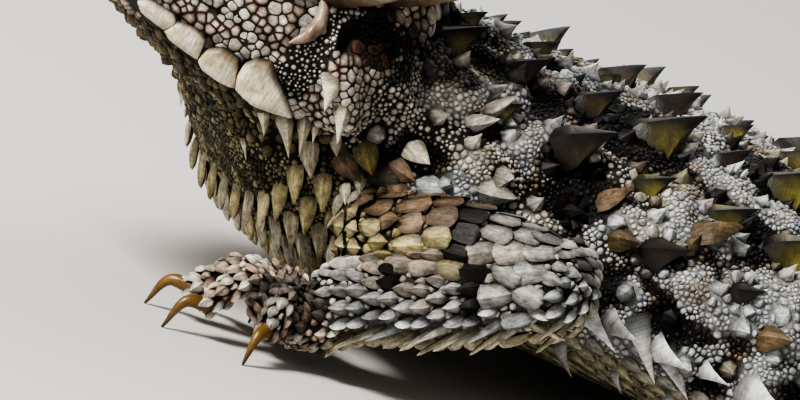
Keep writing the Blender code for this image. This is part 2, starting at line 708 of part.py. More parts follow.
def rest_on_origin(nodes):
    """Moves the whole animal so that the middle of its box stands over the origin."""
    corners = np.array([v.co for node in nodes for v in node.data.vertices])
    low, high = corners.min(axis=0), corners.max(axis=0)
    shift = Vector((-(low[0] + high[0]) / 2, -(low[1] + high[1]) / 2, -low[2]))
    for node in nodes:
        for v in node.data.vertices:
            v.co += shift


def main():
    clear_scene()
    hide = material("scaled_skin", SKIN_TAN, 0.75)
    horny = material("horn", HORN_CREAM, 0.5)
    iris = material("eye", EYE_BROWN, 0.15)
    nodes = [build_head(hide), build_neck(hide), build_torso(hide)]
    nodes.append(build_tail("tail_base", TORSO_END + GAP, TAIL_BASE_END, 9, TAIL_BASE_ROWS, hide))
    nodes.append(build_tail("tail_tip", TAIL_BASE_END + GAP, TAIL_END, 9, TAIL_TIP_ROWS, hide))
    for side in (LEFT, RIGHT):
        nodes.append(build_eye(side, iris))
        for kind, base, length, radius, leans in HORNS:
            nodes.append(build_horn(kind, side, base, length, radius, leans, horny))
    arms = (LEFT_ARM, RIGHT_ARM)
    legs = (LEFT_LEG, RIGHT_LEG)
    for i, side in enumerate((LEFT, RIGHT)):
        tag = SIDE_NAMES[side]
        names = [f"{part}_{tag}" for part in ("upper_arm", "forearm", "hand")]
        nodes += build_limb(names, arms[i], ARM_RADII, HAND_DIGITS, side, hide)
        names = [f"{part}_{tag}" for part in ("thigh", "shin", "foot")]
        nodes += build_limb(names, legs[i], LEG_RADII, FOOT_DIGITS, side, hide)
    rest_on_origin(nodes)


main()
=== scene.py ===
"""The horned lizard's looks: one scaled skin with its spines, shields, horns, eyes and claws.

Lengths in the tables are millimetres in the solids' own frame: the snout points to -X, the left side
faces -Y and the floor is z = 0. They become metres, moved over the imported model, when a mesh is made.
"""

import math

import bpy
import numpy as np
from mathutils import Matrix, Vector
from mathutils.bvhtree import BVHTree
from mathutils.kdtree import KDTree


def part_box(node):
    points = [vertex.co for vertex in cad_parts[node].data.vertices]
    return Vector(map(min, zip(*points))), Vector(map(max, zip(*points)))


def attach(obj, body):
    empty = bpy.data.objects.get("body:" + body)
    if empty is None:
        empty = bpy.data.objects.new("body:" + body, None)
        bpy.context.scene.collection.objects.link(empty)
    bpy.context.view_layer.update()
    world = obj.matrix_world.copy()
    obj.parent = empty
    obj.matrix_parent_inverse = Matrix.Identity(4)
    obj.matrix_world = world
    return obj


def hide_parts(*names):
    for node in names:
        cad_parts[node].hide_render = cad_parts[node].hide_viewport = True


bl_info = {
    "name": "Horned lizard",
    "version": (1, 0, 0),
    "blender": (4, 5, 0),
    "location": "View3D > Sidebar > Lizard",
    "description": "Builds a horned lizard's skin, scales, spines, horns, eyes and claws",
    "category": "Object",
}

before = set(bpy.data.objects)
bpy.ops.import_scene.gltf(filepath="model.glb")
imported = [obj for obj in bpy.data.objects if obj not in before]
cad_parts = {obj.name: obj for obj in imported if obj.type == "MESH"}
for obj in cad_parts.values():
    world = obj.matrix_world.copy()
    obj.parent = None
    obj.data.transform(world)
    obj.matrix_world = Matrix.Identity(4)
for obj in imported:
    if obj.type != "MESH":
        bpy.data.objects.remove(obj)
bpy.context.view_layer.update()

MM = 0.001
LEFT, RIGHT = -1, 1
SIDE_NAMES = {LEFT: "left", RIGHT: "right"}

STATION_AT_X0 = 62.0
TAIL_BEND_START = 88.0
TAIL_BEND_LENGTH = 60.0
TAIL_BEND_DEG = 34.0
# station, half width, height of the widest line, rise above it, drop below it
TRUNK = np.array([
    (16.5, 5.0, 17.2, 6.0, 4.2), (19.0, 7.4, 15.8, 7.8, 5.2), (21.0, 8.8, 14.5, 8.6, 6.3),
    (23.5, 10.0, 13.1, 9.0, 7.6), (26.0, 11.0, 12.1, 9.4, 7.9), (29.0, 12.0, 11.2, 10.2, 7.8),
    (35.0, 14.2, 9.8, 11.2, 6.9), (40.0, 17.2, 8.8, 11.5, 6.2), (46.0, 20.8, 7.8, 11.9, 5.8),
    (54.0, 23.8, 6.8, 12.2, 5.6), (62.0, 24.6, 5.9, 12.2, 5.4), (70.0, 22.4, 5.2, 11.6, 5.4),
    (77.0, 17.6, 4.9, 10.3, 5.1), (84.0, 12.2, 4.6, 8.4, 4.8), (90.0, 9.0, 4.2, 6.2, 4.4),
    (96.0, 6.6, 3.7, 4.6, 3.9), (106.0, 4.8, 3.0, 3.3, 3.2), (118.0, 3.3, 2.3, 2.3, 2.4),
    (130.0, 2.0, 1.6, 1.5, 1.7), (140.0, 0.9, 0.8, 0.8, 0.8),
])
TRUNK_TOP_POWER, TRUNK_SIDE_POWER, TRUNK_BELLY_POWER = 1.9, 2.2, 2.7
TRUNK_START, TAIL_END = 16.5, 140.0

HEAD_ORIGIN = np.array((-36.7, 0.0, 12.3))
HEAD_PITCH = math.radians(15.0)
AHEAD = np.array((-math.cos(HEAD_PITCH), 0.0, math.sin(HEAD_PITCH)))
ABOVE = np.array((math.sin(HEAD_PITCH), 0.0, math.cos(HEAD_PITCH)))
# distance ahead of the nape, half width, height of the widest line, top, chin
HEAD = np.array([
    (-2.6, 8.8, 5.4, 11.6, -1.6), (0.0, 10.9, 4.8, 13.2, -2.4), (4.0, 12.1, 4.3, 14.0, -2.6),
    (8.0, 11.8, 4.0, 14.0, -1.9), (11.5, 10.7, 3.8, 13.4, -1.0), (14.5, 9.4, 3.6, 12.0, -0.2),
    (17.5, 7.9, 3.5, 10.1, 0.1), (20.5, 6.0, 3.4, 8.2, 0.3), (22.6, 3.9, 3.3, 6.4, 0.8),
    (23.6, 1.6, 3.2, 4.8, 2.0),
])
HEAD_POWER, HEAD_TAPER = 2.7, 0.24
EYE_CENTRE, EYE_RADIUS = (11.0, 6.7, 9.0), 3.0
LID_RADIUS, LID_OPENING = 3.8, (2.7, 3.0, 1.8)
BROW = ((17.4, 5.0, 8.6), (14.6, 6.8, 10.9), (11.4, 7.7, 12.5), (8.2, 8.5, 12.6), (5.4, 10.0, 13.9))
BROW_RADII = (0.6, 1.3, 1.7, 1.5, 0.25)
JOWL_TOP, JOWL_BOTTOM = (6.0, 11.4, 5.2), (2.9, 11.6, 1.5)
MOUTH_HEIGHT, MOUTH_CORNER = 2.9, 8.2
NOSTRIL, EAR = (21.3, 2.9, 6.5), (5.6, 11.3, 6.0)
# how much further out than the ear's place its pit is cut
EAR_OUT = 0.5
# name, base in the head's frame, length, base radius, then how far it leans back, out and up
HORNS = (
    ("horn_occipital", (1.6, 3.5, 12.8), 11.0, 2.05, (0.80, 0.20, 0.54)),
    ("horn_temporal_inner", (1.6, 7.3, 11.7), 8.0, 1.7, (0.80, 0.38, 0.44)),
    ("horn_temporal_middle", (3.6, 10.0, 10.3), 6.4, 1.4, (0.66, 0.54, 0.52)),
    ("horn_temporal_outer", (7.1, 10.8, 8.4), 5.0, 1.3, (0.60, 0.64, 0.46)),
)

LEFT_ARM = {
    "upper": [(-30.5, -6.0, 9.4), (-34.0, -12.0, 8.3), (-31.2, -15.8, 9.7), (-26.2, -19.8, 9.8)],
    "lower": [(-26.2, -19.8, 9.8), (-31.2, -17.6, 7.1), (-36.9, -14.5, 4.4)],
    "palm": (-38.4, -13.2, 2.7), "heading": 155.0, "side": LEFT, "fore": True,
}
RIGHT_ARM = {
    "upper": [(-31.0, 5.0, 11.4), (-33.4, 11.6, 11.0), (-30.8, 17.4, 11.8), (-25.4, 22.8, 12.2)],
    "lower": [(-25.4, 22.8, 12.2), (-19.0, 26.0, 8.6), (-12.6, 28.0, 4.4)],
    "palm": (-13.0, 29.8, 2.5), "heading": 140.0, "side": RIGHT, "fore": True,
}
LEFT_LEG = {
    "upper": [(23.0, -4.0, 7.4), (21.5, -9.6, 7.4), (18.0, -17.0, 8.6), (12.6, -24.2, 9.2)],
    "lower": [(12.6, -24.2, 9.2), (18.4, -27.0, 7.2), (25.0, -29.6, 4.0)],
    "palm": (22.6, -31.4, 2.3), "heading": 214.0, "side": LEFT, "fore": False,
}
RIGHT_LEG = {
    "upper": [(23.0, 4.0, 7.4), (22.4, 9.6, 7.4), (21.0, 17.4, 8.6), (17.4, 25.4, 9.0)],
    "lower": [(17.4, 25.4, 9.0), (23.8, 27.8, 7.0), (31.0, 29.4, 4.0)],
    "palm": (29.0, 31.4, 2.3), "heading": 140.0, "side": RIGHT, "fore": False,
}
LIMBS = (LEFT_ARM, RIGHT_ARM, LEFT_LEG, RIGHT_LEG)
ARM_RADII = {"upper": (3.5, 3.1, 2.95, 2.95), "lower": (2.95, 2.75, 2.2)}
LEG_RADII = {"upper": (5.2, 5.1, 4.4, 3.4), "lower": (3.4, 3.1, 2.2)}
# turn from the heading towards the inner side, and the length without its claw
HAND_DIGITS = ((66.0, 2.6), (36.0, 4.2), (8.0, 5.4), (-24.0, 4.6), (-68.0, 2.6))
FOOT_DIGITS = ((52.0, 2.8), (28.0, 4.6), (7.0, 6.6), (-14.0, 8.4), (-52.0, 4.2))
PALM_RADII = (3.2, 3.3, 1.9)
DIGIT_RADIUS, KNUCKLE_RISE, TOE_END_HEIGHT, CLAW_LENGTH = 0.95, 1.4, 1.8, 2.5

# angle, first and last station, step, spine length, half width, flatness, lean along the body
FRINGE_ROWS = (
    (-2.0, 38.4, 71.0, 2.8, 3.6, 0.95, 0.5, 0.45),
    (-30.0, 40.0, 69.0, 3.2, 2.3, 0.8, 0.5, 0.55),
)
BACK_ROWS = (
    (24.0, 38.0, 76.0, 5.0, 2.0, 1.0, 1.0, 0.75),
    (43.0, 33.5, 80.0, 4.6, 2.8, 1.4, 1.0, 0.60),
    (64.0, 31.2, 86.0, 4.6, 3.0, 1.6, 1.0, 0.45),
    (82.0, 33.5, 84.0, 5.0, 2.2, 1.2, 1.0, 0.50),
)
TAIL_ROWS = (
    (2.0, 93.0, 112.0, 3.4, 2.2, 0.9, 0.6, 0.7),
    (48.0, 93.6, 112.0, 4.2, 1.9, 0.9, 1.0, 0.9),
    (2.0, 116.0, 133.0, 4.2, 1.5, 0.65, 0.6, 0.9),
    (55.0, 118.0, 132.0, 4.6, 1.2, 0.6, 1.0, 0.9),
)
# how far a row's spine keeps from the limbs, and how far every scale and claw keeps from the floor
LIMB_ROOM, FLOOR_GAP = 2.2, 0.02
# the share of its end's radius by which a tube's rounded end reaches past its path
TUBE_END = 0.85
SPINE_SIDES, SPINE_SINK = 8, 0.3
# the most triangles in one mesh of scales
MOST_TRIANGLES = 190000

# the camera looks at one side of the head and forequarter from a little above, rolled over
VIEW_AZIMUTH, VIEW_ELEVATION, VIEW_ROLL = -28.0, 10.0, 20.0
VIEW_DISTANCE, VIEW_WIDTH = 230.0, 800 / 17.0
# how far outside the frame a scale still counts as seen, as a share of the frame's width
VIEW_MARGIN = 0.05
VIEW_ANCHOR, VIEW_ANCHOR_OFFSET = np.array((-43.0, -12.5, 14.0)), (110 / 17.0, -82 / 17.0)

WORK = {}


def hex_colour(code):
    """An sRGB hex value as linear red, green and blue."""
    values = [int(code[i:i + 2], 16) / 255 for i in (1, 3, 5)]
    return tuple(v / 12.92 if v <= 0.04045 else ((v + 0.055) / 1.055) ** 2.4 for v in values)


def length_setting(name, description, length):
    return bpy.props.FloatProperty(
        name=name, description=description, default=length, unit="LENGTH", subtype="DISTANCE")


class LizardSizes(bpy.types.PropertyGroup):
    """Sizes of the skin and its scales, in metres."""

    skin_voxel: length_setting("Skin grain", "Size of the grid that the skin is drawn from", 0.00040)
    coat_depth: length_setting("Scale depth", "How far the skin lies inside the solids", 0.00022)
    granule: length_setting("Granule", "Distance between the small scales of the back and flank", 0.00072)
    near_granule: length_setting("Fine granule", "Distance between the small scales in view", 0.00027)
    cheek_scute: length_setting("Cheek scute", "Distance between the flat scales of the cheek", 0.00060)
    limb_scale: length_setting("Limb scale", "Width of a keeled scale of the limbs", 0.00135)
    seed: bpy.props.IntProperty(name="Seed", description="Start of the scatter of scales", default=7)


def colour_setting(name, description, code):
    return bpy.props.FloatVectorProperty(
        name=name, description=description, subtype="COLOR", size=3, min=0.0, max=1.0,
        default=hex_colour(code))


class LizardColours(bpy.types.PropertyGroup):
    """Colours of the skin, scales, horns, eyes and claws."""

    pale: colour_setting("Pale scale", "Raised white scales of the cheek, jowl and neck", "#D8CFC1")
    bluish: colour_setting("Bluish scale", "Cool white of the back and forearm", "#B3BCC2")
    straw: colour_setting("Straw scale", "Yellowish scales of the chest and upper arm", "#C2B588")
    olive: colour_setting("Olive scale", "Golden brown of the flank", "#7F7145")
    rust: colour_setting("Rust scale", "Orange brown edges of the blotches", "#7A5237")
    ochre: colour_setting("Ochre scale", "Golden brown of the single larger scales", "#756348")
    wood: colour_setting("Wood brown scale", "Grey brown plates on top of the upper arm", "#7E6850")
    tan: colour_setting("Tan scale", "Pinkish tan of the fingers", "#BB9F8B")
    dark: colour_setting("Dark scale", "Black brown of the blotches and bands", "#15100C")
    skin: colour_setting("Skin", "Bare skin between the scales", "#0C0907")
    ivory: colour_setting("Jaw shield", "Ivory of the jaw shields and large spines", "#DDD3BC")
    yellow: colour_setting("Spine yellow", "Yellow side of the back's spines", "#8C8540")
    belly: colour_setting("Belly", "Cream of the underside", "#CFC4A4")
    claw: colour_setting("Claw", "Amber of the claws", "#A87E3E")
    iris: colour_setting("Iris", "Golden brown of the iris", "#7A5320")
    floor: colour_setting("Floor", "Plain pale floor", "#C9C6C2")


def sizes():
    return bpy.context.scene.lizard_sizes


def tone(name):
    return np.array(getattr(bpy.context.scene.lizard_colours, name))


# places on the animal


def smooth_rows(table, at):
    """A table's rows at values of its first column, on a smooth curve that doesn't overshoot."""
    at = np.atleast_1d(np.asarray(at, float))
    x = table[:, 0]
    k = np.clip(np.searchsorted(x, at) - 1, 0, len(x) - 2)
    span = (x[k + 1] - x[k])[:, None]
    t = (at - x[k])[:, None] / span
    slopes = np.diff(table, axis=0) / np.diff(x)[:, None]
    before, after = slopes[:-1], slopes[1:]
    level = before * after <= 0
    mean = 2 * before * after / np.where(level, 1.0, before + after)
    tangents = np.concatenate([slopes[:1], np.where(level, 0.0, mean), slopes[-1:]])
    rise = 3 * t * t - 2 * t ** 3
    lead = (t - 2 * t * t + t ** 3) * span * tangents[k]
    tail = (t ** 3 - t * t) * span * tangents[k + 1]
    return (1 - rise) * table[k] + rise * table[k + 1] + lead + tail


def signed_power(value, power):
    return np.sign(value) * np.abs(value) ** power


def smooth_step(low, high, value):
    t = np.clip((value - low) / (high - low), 0.0, 1.0)
    return t * t * (3 - 2 * t)


def trunk_heading(station):
    bend = np.clip((np.asarray(station, float) - TAIL_BEND_START) / TAIL_BEND_LENGTH, 0.0, 1.0)
    return math.radians(TAIL_BEND_DEG) * np.sin(np.pi * bend) * bend


def tail_line():
    """The middle line's stations past the hips with the x and y it has gone there."""
    stations = np.linspace(TAIL_BEND_START, TAIL_END + 4, 1120)
    middle = trunk_heading((stations[1:] + stations[:-1]) / 2)
    step = np.diff(stations)
    x = np.concatenate([[0.0], np.cumsum(np.cos(middle) * step)])
    y = np.concatenate([[0.0], np.cumsum(np.sin(middle) * step)])
    return stations, x, y


TAIL_LINE = tail_line()


def trunk_centre(station):
    station = np.asarray(station, float)
    x = np.minimum(station, TAIL_BEND_START) - STATION_AT_X0
    return x + np.interp(station, TAIL_LINE[0], TAIL_LINE[1]), np.interp(station, TAIL_LINE[0], TAIL_LINE[2])


def trunk_points(station, angle, share=1.0):
    """Points of the trunk's skin: angle 0 is the right side, 90 the back and 180 the left."""
    station, angle = np.broadcast_arrays(np.asarray(station, float), np.asarray(angle, float))
    shape = station.shape
    station, angle = station.ravel(), np.radians(angle.ravel())
    _, width, height, rise, drop = smooth_rows(TRUNK, station).T
    x, y = trunk_centre(station)
    heading = trunk_heading(station)
    c, s = np.cos(angle), np.sin(angle)
    over = s > 0
    side = width * signed_power(c, 2 / np.where(over, TRUNK_SIDE_POWER, TRUNK_BELLY_POWER)) * share
    up = np.where(over, rise, drop) * share
    up = up * signed_power(s, 2 / np.where(over, TRUNK_TOP_POWER, TRUNK_BELLY_POWER))
    points = np.stack([x - np.sin(heading) * side, y + np.cos(heading) * side, height + up], axis=1)
    return points.reshape(*shape, 3)


def trunk_normal(station, angle):
    along = trunk_points(station + 0.2, angle) - trunk_points(station - 0.2, angle)
    around = trunk_points(station, angle + 1.0) - trunk_points(station, angle - 1.0)
    return unit(np.cross(around, along))


def unit(vectors):
    vectors = np.asarray(vectors, float)
    return vectors / np.maximum(np.linalg.norm(vectors, axis=-1, keepdims=True), 1e-9)


def head_world(ahead, side, up):
    """Points given ahead of the nape, to the right and up, in the head's own frame."""
    ahead, side, up = np.broadcast_arrays(*(np.asarray(v, float) for v in (ahead, side, up)))
    return (HEAD_ORIGIN + ahead[..., None] * AHEAD + up[..., None] * ABOVE
            + side[..., None] * np.array((0.0, 1.0, 0.0)))


def head_place(points):
    """How far points are ahead of the nape, to the right and up."""
    offset = np.asarray(points, float) - HEAD_ORIGIN
    return offset @ AHEAD, offset[..., 1], offset @ ABOVE


def head_half_width(ahead, up):
    """Half the head's width at places ahead of the nape and up."""
    rows = smooth_rows(HEAD, ahead)
    width, middle, top, chin = rows[:, 1], rows[:, 2], rows[:, 3], rows[:, 4]
    up = np.atleast_1d(np.asarray(up, float))
    reach = np.where(up > middle, top - middle, middle - chin)
    share = np.minimum(np.abs(up - middle) / reach, 1.0)
    taper = 1 - HEAD_TAPER * np.maximum(up - middle, 0.0) / reach
    return width * taper * (1 - share ** HEAD_POWER) ** (1 / HEAD_POWER)


def head_points(ahead, angle, share=1.0):
    ahead, angle = np.asarray(ahead, float), np.radians(np.asarray(angle, float))
    rows = smooth_rows(HEAD, ahead)
    width, middle, top, chin = rows[:, 1], rows[:, 2], rows[:, 3], rows[:, 4]
    c, s = np.cos(angle), np.sin(angle)
    reach = np.where(s > 0, top - middle, middle - chin)
    rise = reach * signed_power(s, 2 / HEAD_POWER)
    taper = 1 - HEAD_TAPER * np.maximum(rise, 0.0) / reach
    side = width * taper * signed_power(c, 2 / HEAD_POWER) * share
    return head_world(ahead, side, middle + rise * share)


def smooth_path(points, radii, count):
    """A Catmull-Rom curve through the points, with the radius along it."""
    rows = [np.array((*p, r), float) for p, r in zip(points, radii)]
    rows = [rows[0] * 2 - rows[1], *rows, rows[-1] * 2 - rows[-2]]
    found = []
    for i in range(count):
        t = (len(points) - 1) * i / (count - 1)
        k = min(int(t), len(points) - 2)
        u = t - k
        a, b, c, d = rows[k:k + 4]
        found.append(0.5 * (2 * b + (c - a) * u + (2 * a - 5 * b + 4 * c - d) * u * u
                            + (3 * b - a - 3 * c + d) * u ** 3))
    found = np.array(found)
    return found[:, :3], found[:, 3]


def path_axes(centres):
    """Directions along, across and above a path at each of its points."""
    along = unit(np.concatenate([centres[1:2] - centres[:1], centres[2:] - centres[:-2],
                                 centres[-1:] - centres[-2:-1]]))
    across = unit(np.cross(along, (0.0, 0.0, 1.0)))
    return along, across, np.cross(across, along)


def path_run(path):
    """How far along a path each of its points is."""
    return np.concatenate([[0], np.cumsum(np.linalg.norm(np.diff(path, axis=0), axis=1))])


def limb_radii(limb):
    return ARM_RADII if limb["fore"] else LEG_RADII


def digit_paths(limb):
    """For each digit its path, the radii there and its claw's path."""
    found = []
    for turn, length in (HAND_DIGITS if limb["fore"] else FOOT_DIGITS):
        heading = math.radians(limb["heading"] + limb["side"] * turn)
        way = np.array((math.cos(heading), math.sin(heading), 0.0))
        start = np.array(limb["palm"], float)
        reach = PALM_RADII[0] * 0.45
        middle = start + way * (reach + length * 0.5) + (0, 0, KNUCKLE_RISE)
        end = start + way * (reach + length)
        end[2] = TOE_END_HEIGHT
        path = [start + way * reach, middle, end]
        claw = [end - way * 0.4 + (0, 0, 0.15), end + way * CLAW_LENGTH * 0.5 + (0, 0, 0.05),
                end + way * CLAW_LENGTH * 0.85 - (0, 0, TOE_END_HEIGHT - 0.06)]
        found.append((path, (DIGIT_RADIUS * 1.1, DIGIT_RADIUS, DIGIT_RADIUS * 0.8), claw))
    return found


def lump_noise(points, size, seed=0):
    """Smooth noise from 0 to 1 with lumps about size across."""
    q = np.asarray(points, float) / size + seed * 17.31 + 500.0
    cell = np.floor(q).astype(np.int64)
    f = q - cell
    f = f * f * (3 - 2 * f)
    total = np.zeros(len(q))
    for corner in range(8):
        bits = np.array((corner & 1, corner >> 1 & 1, corner >> 2 & 1))
        i = cell + bits
        h = i[:, 0] * 73856093 ^ i[:, 1] * 19349663 ^ i[:, 2] * 83492791
        h = (h ^ (seed + 1) * 26544357) & 0xFFFFFFFF
        h = ((h ^ (h >> 15)) * 2246822519) & 0xFFFFFFFF
        h = ((h ^ (h >> 13)) * 3266489917) & 0xFFFFFFFF
        h = h ^ (h >> 16)
        weight = np.prod(np.where(bits, f, 1 - f), axis=1)
        total += (h & 0xFFFFFF) / 0xFFFFFF * weight
    return total


def rough_noise(points, size, seed=0):
    """Two sizes of lumps together."""
    return 0.66 * lump_noise(points, size, seed) + 0.34 * lump_noise(points, size * 0.45, seed + 31)


# meshes


def design_shift():
    """From the tables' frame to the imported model's: both know where the left eye is."""
    low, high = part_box("eye_left")
    centre = (np.array(low) + np.array(high)) / 2 / MM
    return centre - head_world(EYE_CENTRE[0], LEFT * EYE_CENTRE[1], EYE_CENTRE[2])


SHIFT = design_shift()


def to_model(points):
    return (np.asarray(points, float) + SHIFT) * MM


def from_model(points):
    return np.asarray(points, float) / MM - SHIFT


def deselect_all():
    if bpy.context.mode != "OBJECT":
        bpy.ops.object.mode_set(mode="OBJECT")
    bpy.ops.object.select_all(action="DESELECT")


def select_only(*things):
    deselect_all()
    for thing in things:
        thing.select_set(True)
    bpy.context.view_layer.objects.active = things[0]


def read_vectors(rows, name):
    values = np.empty(len(rows) * 3)
    rows.foreach_get(name, values)
    return values.reshape(-1, 3)


def read_surface(mesh):
    """A mesh's points in the tables' frame, and its normals."""
    return from_model(read_vectors(mesh.vertices, "co")), read_vectors(mesh.vertex_normals, "vector")


def write_points(mesh, points):
    mesh.vertices.foreach_set("co", np.ascontiguousarray(points).ravel())
    mesh.update()


def ring_faces(rings, sides):
    """Faces of rings of corners stacked one on the next, closed across the first and to a tip at the end."""
    faces = [list(range(sides))[::-1]]
    for start in range(0, (rings - 1) * sides, sides):
        for k in range(sides):
            a, b = start + k, start + (k + 1) % sides
            faces.append([a, b, b + sides, a + sides])
    last = (rings - 1) * sides
    faces += [[last + k, last + (k + 1) % sides, last + sides] for k in range(sides)]
    return faces


def edit_whole(operator, **settings):
    """Runs one of edit mode's operators on the whole of the active piece."""
    bpy.ops.object.mode_set(mode="EDIT")
    bpy.ops.mesh.select_all(action="SELECT")
    operator(**settings)
    bpy.ops.object.mode_set(mode="OBJECT")


def shaped_sphere(name, segments, rings, shape):
    """A UV sphere whose points go to shape(share of the way between its poles, angle round it)."""
    deselect_all()
    bpy.ops.mesh.primitive_uv_sphere_add(segments=segments, ring_count=rings, radius=1.0)
    made = bpy.context.object
    made.name = name
    place = read_vectors(made.data.vertices, "co")
    share = np.arccos(np.clip(place[:, 2], -1, 1)) / np.pi
    angle = np.degrees(np.arctan2(place[:, 1], place[:, 0]))
    write_points(made.data, to_model(shape(share, angle)))
    edit_whole(bpy.ops.mesh.normals_make_consistent, inside=False)
    return made


def shaped_tube(name, points, radii, rings, around):
    """A round limb along a smooth path, rounded at both ends."""
    centres, widths = smooth_path(points, radii, 60)
    along, across, above = path_axes(centres)
    first, last = along[0], along[-1]

    def shape(share, angle):
        cap = 0.12
        at = np.clip((share - cap) / (1 - 2 * cap), 0.0, 1.0)
        past = np.maximum(cap - share, 0.0) / cap
        beyond = np.maximum(share - 1 + cap, 0.0) / cap
        row = at * (len(centres) - 1)

        def at_row(values):
            low = np.clip(row.astype(int), 0, len(values) - 2)
            part = (row - low)[:, None]
            return values[low] * (1 - part) + values[low + 1] * part

        width = at_row(widths[:, None])[:, 0]
        middle = (at_row(centres) - first * (past * TUBE_END * width)[:, None]
                  + last * (beyond * TUBE_END * width)[:, None])
        size = width * np.sqrt(np.maximum(1 - np.maximum(past, beyond) ** 2, 0.0))
        turn = np.radians(angle)
        return middle + (at_row(across) * (size * np.cos(turn))[:, None]
                         + at_row(above) * (size * np.sin(turn))[:, None])

    return shaped_sphere(name, around, rings, shape)


def shaped_ball(name, centre, radii, segments=24, rings=16, axes=None):
    turned = np.eye(3) if axes is None else np.array(axes)

    def shape(share, angle):
        polar, turn = share * np.pi, np.radians(angle)
        local = np.stack([np.sin(polar) * np.cos(turn) * radii[0], np.sin(polar) * np.sin(turn) * radii[1],
                          np.cos(polar) * radii[2]], axis=1)
        return np.array(centre) + local @ turned

    return shaped_sphere(name, segments, rings, shape)


HEAD_AXES = np.array((AHEAD, (0.0, 1.0, 0.0), ABOVE))


def apply_modifier(made, kind, **settings):
    select_only(made)
    modifier = made.modifiers.new(kind.title(), kind)
    for name, value in settings.items():
        setattr(modifier, name, value)
    bpy.ops.object.modifier_apply(modifier=modifier.name)


def view_axes():
    """The camera's right, up and backward directions, and its place."""
    azimuth, elevation, roll = (math.radians(v) for v in (VIEW_AZIMUTH, VIEW_ELEVATION, VIEW_ROLL))
    back = np.array((math.sin(azimuth) * math.cos(elevation), -math.cos(azimuth) * math.cos(elevation),
                     math.sin(elevation)))
    level = np.array((math.cos(azimuth), math.sin(azimuth), 0.0))
    rise = np.cross(back, level)
    right = math.cos(roll) * level + math.sin(roll) * rise
    up = math.cos(roll) * rise - math.sin(roll) * level
    target = VIEW_ANCHOR + right * VIEW_ANCHOR_OFFSET[0] + up * VIEW_ANCHOR_OFFSET[1]
    return right, up, back, target + back * VIEW_DISTANCE


def store_colours(mesh, colours):
    """Each point's colour, for the looks to read."""
    tint = mesh.attributes.new("Tint", "FLOAT_COLOR", "POINT")
    values = np.ones((len(colours), 4))
    values[:, :3] = np.clip(colours, 0, 1)
    tint.data.foreach_set("color", values.ravel())


class Batch:
    """Many small closed pieces gathered for one mesh, each with its colours and its patch of the unwrap."""

    def __init__(self):
        self.points, self.loops, self.totals, self.tints, self.spots, self.grain = [], [], [], [], [], []
        self.count = 0
        self.triangles = 0

    def add(self, points, faces, tints, spots, grain):
        """points (pieces, corners, 3) with one list of faces for every piece.

        grain is each corner's place along and across its own piece in millimetres, with a number of the
        piece, so that streaks run along every scale and differ from one to the next.
        """
        pieces, corners = points.shape[:2]
        if not pieces:
            return
        base = self.count + np.arange(pieces)[:, None] * corners
        self.loops.append((base + np.concatenate(faces)[None, :]).ravel())
        self.totals.append(np.tile([len(f) for f in faces], pieces))
        # scales pressed against the floor are flattened by it
        resting = points.reshape(-1, 3).copy()
        resting[:, 2] = np.maximum(resting[:, 2], FLOOR_GAP)
        self.points.append(resting)
        self.tints.append(tints.reshape(-1, 3))
        self.spots.append(spots.reshape(-1, 2))
        self.grain.append(grain.reshape(-1, 3))
        self.count += pieces * corners
        self.triangles += pieces * sum(len(f) - 2 for f in faces)

    def build(self, name, look, sharp):
        """Makes the mesh, whose edges stay sharp from this many degrees on."""
        loops, totals = np.concatenate(self.loops), np.concatenate(self.totals)
        mesh = bpy.data.meshes.new(name)
        mesh.vertices.add(self.count)
        mesh.vertices.foreach_set("co", to_model(np.concatenate(self.points)).ravel())
        mesh.loops.add(len(loops))
        mesh.loops.foreach_set("vertex_index", loops.astype(np.int32))
        mesh.polygons.add(len(totals))
        starts = np.concatenate([[0], np.cumsum(totals)[:-1]])
        mesh.polygons.foreach_set("loop_start", starts.astype(np.int32))
        mesh.update(calc_edges=True)
        mesh.validate()
        mesh.polygons.foreach_set("use_smooth", np.ones(len(mesh.polygons), bool))
        store_colours(mesh, np.concatenate(self.tints))
        grain = mesh.attributes.new("Grain", "FLOAT_VECTOR", "POINT")
        grain.data.foreach_set("vector", np.concatenate(self.grain).ravel())
        spots = np.concatenate(self.spots)[loops]
        mesh.uv_layers.new(name="OFBake").data.foreach_set("uv", spots.ravel())
        mesh.set_sharp_from_angle(angle=math.radians(sharp))
        made = bpy.data.objects.new(name, mesh)
        bpy.context.scene.collection.objects.link(made)
        dress(made, look)


def dress(made, look):
    """Gives a finished piece its material and its place on the body."""
    made.data.materials.clear()
    made.data.materials.append(look)
    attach(made, "root")


# numbers of the parts: each limb adds its own number to the last two
TRUNK_PART, HEAD_PART, LIMB_PART, HAND_PART = 0, 1, 2, 6


def point_tree(points):
    """The points in a tree that finds those near a place."""
    tree = KDTree(len(points))
    for i, point in enumerate(points):
        tree.insert(point, i)
    tree.balance()
    return tree


def tube_rows(path, radii, turns, part, shares):
    """The chart's rows along a limb or digit, one for each turn round it."""
    centres, widths = smooth_path(path, radii, len(shares))
    along, across, above = path_axes(centres)
    for turn in turns:
        c, s = math.cos(math.radians(turn)), math.sin(math.radians(turn))
        place = centres + (across * c + above * s) * widths[:, None]
        yield place, np.full(len(shares), part), shares, np.full(len(shares), float(turn)), along


